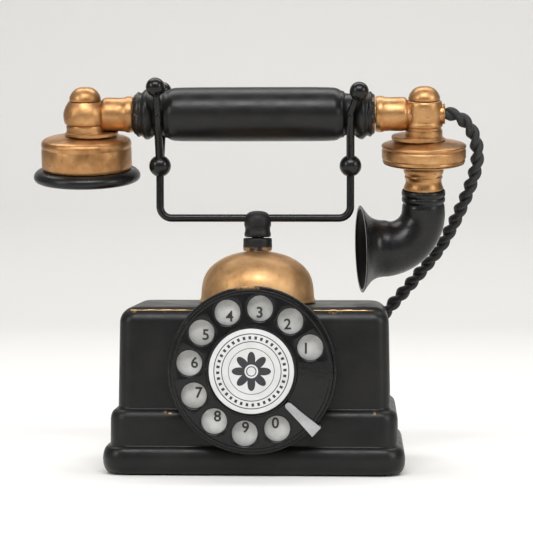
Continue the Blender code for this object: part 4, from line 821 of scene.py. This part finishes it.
hollow = [lathe([(0, 3.5), (5.5, 3.5), (5.5, 30), (0, 30)], 40, toward_handle, closed=False),
          bar(4.4, -30, 1.6, 32)]
receiver_casting = cut(receiver_casting, *hollow)
bmesh.ops.transform(receiver_casting, matrix=at_receiver, verts=receiver_casting.verts)
piece("receiver_barrel", receiver_casting, casting, "handset", "bronze", "receiver_arm", smooth=38)
piece("receiver_knob", lathe(finial, 72, at_receiver, closed=False), casting, "handset", "bronze",
      "receiver_finial", smooth=45)
drum = [(4.8, -11.1), (11.4, -11.1), (12.6, -11.35), (16.5, -11.7), (20.4, -12.3), (22.2, -12.9),
        (23.1, -13.7), (23.5, -14.8), (23.55, -16.2), (23.3, -16.7), (23.3, -17.3), (23.55, -17.8),
        (23.6, -26.4), (23.45, -27.4), (23.0, -28.4), (21.6, -28.4), (21.6, -15.6), (4.8, -14.4)]
piece("receiver_drum", lathe(drum, 112, at_receiver), casting, "handset", "bronze", "receiver_cup", smooth=45)
cap_paint = black_paint("ear_cap_black", sheen=(0.22, 0.38))
cap = [(18.6, -28.75), (24.3, -28.75), (25.2, -28.9), (26.4, -29.6), (27.3, -30.5), (27.85, -31.6),
       (27.95, -32.6), (27.7, -33.6), (27.0, -34.5), (26.0, -35.0), (24.6, -35.2), (22.8, -35.2),
       (21.0, -34.9), (19.4, -34.4), (14.0, -33.2), (8.0, -32.2), (4.2, -31.8), (4.0, -31.4), (4.0, -30.1),
       (18.6, -30.1)]
piece("ear_cap", lathe(cap, 120, at_receiver), cap_paint, "handset", "black_paint", "receiver_cap", smooth=50)


# ---------------------------------------------------------------- transmitter
# The same cast bronze, with a flatter drum, a ringed neck under it, and the horn pressed on to the neck.
barrel = [(0, -13.4), (11.2, -13.4), (11.2, -12.9), (10.4, -12.4), (9.7, -11.9), (9.6, -11.4), (9.6, -8.8),
          (9.5, -8.3), (9.0, -8.0), (9.0, -6.7), (9.5, -6.4), (9.75, -5.9), (9.75, -4.7), (9.4, -4.2),
          (9.2, -3.6), (9.35, -2.0), (9.5, 1.0), (9.45, 4.0), (9.2, 6.0), (8.8, 6.8), (8.4, 7.1), (0, 7.1)]
flange = [(0, -13.35), (12.9, -13.35), (13.2, -13.0), (13.2, -11.6), (12.8, -11.2), (0, -11.2)]
away = Matrix.Rotation(math.radians(-90), 4, "Y")
transmitter_casting = cut(lathe(barrel, 80, closed=False), lathe(arm_outline, 64, away, closed=False),
                          lathe(flange, 64, Matrix.Translation((-3.6 * MM, 0, 0.04 * MM)), closed=False),
                          how="UNION")
hollow = [lathe([(0, 3.5), (5.5, 3.5), (5.5, 30), (0, 30)], 40, away, closed=False), bar(4.4, -30, 1.6, 32),
          lathe([(0, 2.5), (5.3, 2.5), (5.3, 20), (0, 20)], 40, toward_handle, closed=False)]
transmitter_casting = cut(transmitter_casting, *hollow)
bmesh.ops.transform(transmitter_casting, matrix=at_transmitter, verts=transmitter_casting.verts)
piece("transmitter_barrel", transmitter_casting, casting, "handset", "bronze", "transmitter_arm", smooth=38)
piece("transmitter_knob", lathe(finial, 72, at_transmitter, closed=False), casting, "handset", "bronze",
      "transmitter_finial", smooth=45)
bush = [(4.25, 5.8), (5.0, 5.8), (5.0, 9.9), (5.3, 10.1), (5.4, 10.45), (5.1, 10.7), (4.4, 10.75),
        (4.25, 10.5)]
piece("cord_collar", lathe(bush, 56, at_transmitter @ toward_handle), casting, "handset", "bronze",
      "cord_bush", smooth=45)
pan = [(4.8, -13.7), (11.6, -13.7), (13.0, -13.95), (17.5, -14.9), (20.2, -15.5), (21.3, -15.8),
       (21.85, -16.2), (22.0, -16.8), (21.75, -17.3), (21.35, -17.6), (21.35, -18.0), (21.7, -18.3),
       (21.85, -18.8), (21.85, -22.4), (21.7, -22.9), (21.25, -23.2), (21.25, -23.7), (21.5, -24.1),
       (21.4, -24.7), (20.9, -25.0), (19.7, -25.0), (19.7, -18.2), (4.8, -16.7)]
piece("transmitter_pan", lathe(pan, 112, at_transmitter), casting, "handset", "bronze", "transmitter_case",
      smooth=45)
cover = [(4.2, -28.4), (10.9, -28.4), (11.3, -28.0), (13.2, -27.4), (17.5, -26.6), (20.3, -25.9),
         (21.0, -25.6), (21.1, -25.3), (19.3, -25.3), (19.3, -23.4), (17.7, -23.4), (17.7, -25.3),
         (4.2, -26.2)]
piece("transmitter_base", lathe(cover, 112, at_transmitter), casting, "handset", "bronze",
      "transmitter_cover", smooth=45)
neck = [(4.2, -28.7), (10.3, -28.7), (10.45, -29.2), (10.3, -30.6), (10.0, -31.2), (9.6, -31.7),
        (9.65, -32.3), (9.95, -32.8), (9.75, -33.5), (9.4, -34.1), (9.3, -35.2), (9.5, -36.4), (10.0, -37.6),
        (10.35, -38.6), (10.3, -39.4), (9.2, -39.6), (9.1, -43.6), (4.2, -43.6)]
piece("horn_neck_rings", lathe(neck, 88, at_transmitter), casting, "handset", "bronze", "horn_neck",
      smooth=45)


# ---------------------------------------------------------------- horn
# Black brass tube: a ringed collar, a quarter bend that widens on the way down, and a flared mouth with a
# rolled lip.
BEND_Z, BEND_R, TUBE_R, MOUTH_R, MOUTH_X = -51.3, 19.3, 14.8, 22.8, 32.9
HORN_YAW, HORN_SIDES = math.radians(8), 80
outer = [((0, 0, -39.9), 11.0), ((0, 0, -40.3), 11.3), ((0, 0, -41.6), 11.45), ((0, 0, -42.8), 11.3),
         ((0, 0, -43.3), 10.9), ((0, 0, -43.9), 11.25), ((0, 0, -45.2), 11.35), ((0, 0, -46.0), 11.1),
         ((0, 0, -46.5), 10.6), ((0, 0, -47.1), 10.55), ((0, 0, -47.8), 11.0), ((0, 0, -49.0), 11.1),
         ((0, 0, -50.3), 11.2)]
for i in range(19):
    share = i / 18
    bent = math.pi / 2 * share
    outer.append(((-BEND_R * (1 - math.cos(bent)), 0, BEND_Z - BEND_R * math.sin(bent)),
                  11.3 + (TUBE_R - 11.3) * (share ** 1.3)))
run = MOUTH_X - BEND_R
for share, wider in ((0.10, 0.05), (0.22, 0.15), (0.34, 0.4), (0.45, 0.85), (0.55, 1.5), (0.64, 2.4),
                     (0.72, 3.5), (0.79, 4.7),
                     (0.85, 5.8), (0.90, 6.75), (0.94, 7.45), (0.965, 7.85), (0.985, 8.05), (1.0, 7.95)):
    outer.append(((-BEND_R - run * share, 0, BEND_Z - BEND_R), TUBE_R + wider))
inner = [(p, r - (1.9 if n < len(outer) - 5 else 1.5)) for n, (p, r) in enumerate(outer)]
inner[-1] = ((-MOUTH_X, 0, BEND_Z - BEND_R), MOUTH_R - 1.7)
horn = bmesh.new()
hoops = []
for n, wall in enumerate((outer, inner[::-1])):
    line = [Vector(p) for p, _ in wall]
    for i, (p, r) in enumerate(wall):
        ahead = (line[min(i + 1, len(line) - 1)] - line[max(i - 1, 0)]).normalized() * (-1 if n else 1)
        frame_of = Matrix((Vector((0, 1, 0)), ahead.cross(Vector((0, 1, 0))), ahead)).transposed().to_4x4()
        made = bmesh.ops.create_circle(horn, segments=HORN_SIDES, radius=r * MM,
                                       matrix=Matrix.Translation(Vector(p) * MM) @ frame_of)["verts"]
        hoops.append((made, list({e for v in made for e in v.link_edges})))
for n, ((low, low_edges), (high, high_edges)) in enumerate(zip(hoops, hoops[1:] + hoops[:1])):
    if n == len(outer) - 1:
        # The rim lies flat in one plane, where a bridge would twist, so its faces are laid one by one.
        faces = [horn.faces.new((low[k - 1], low[k], high[k], high[k - 1])) for k in range(HORN_SIDES)]
    else:
        faces = bmesh.ops.bridge_loops(horn, edges=low_edges + high_edges)["faces"]
    for face in faces:
        # Faces of the inner wall take the second finish: painted shade, darker than the outer paint.
        face.material_index = 1 if n > len(outer) else 0
horn_place = at_transmitter @ Matrix.Rotation(HORN_YAW, 4, "Z")
bmesh.ops.transform(horn, matrix=horn_place, verts=horn.verts)
horn_paint = black_paint("horn_black", sheen=(0.2, 0.36))
speaking_horn = piece("speaking_horn", horn, horn_paint, "handset", "black_paint", "horn", smooth=50)
# Inside the horn: near-black paint with little shine, darker than the outside paint. This is painted shade in
# the hollow of the tube.
painted_shade_inside_horn, dark_tree, dark_shader = new_finish("horn_inside_painted_shade")
dark_tree.links.new(ramp(dark_tree, cloud(dark_tree, 0.006), [(0.3, 0.0015), (0.7, 0.0035)]),
                    dark_shader.inputs["Base Color"])
dark_shader.inputs["Roughness"].default_value = 0.6
dark_shader.inputs["Specular IOR Level"].default_value = 0.10
speaking_horn.data.materials.append(painted_shade_inside_horn)
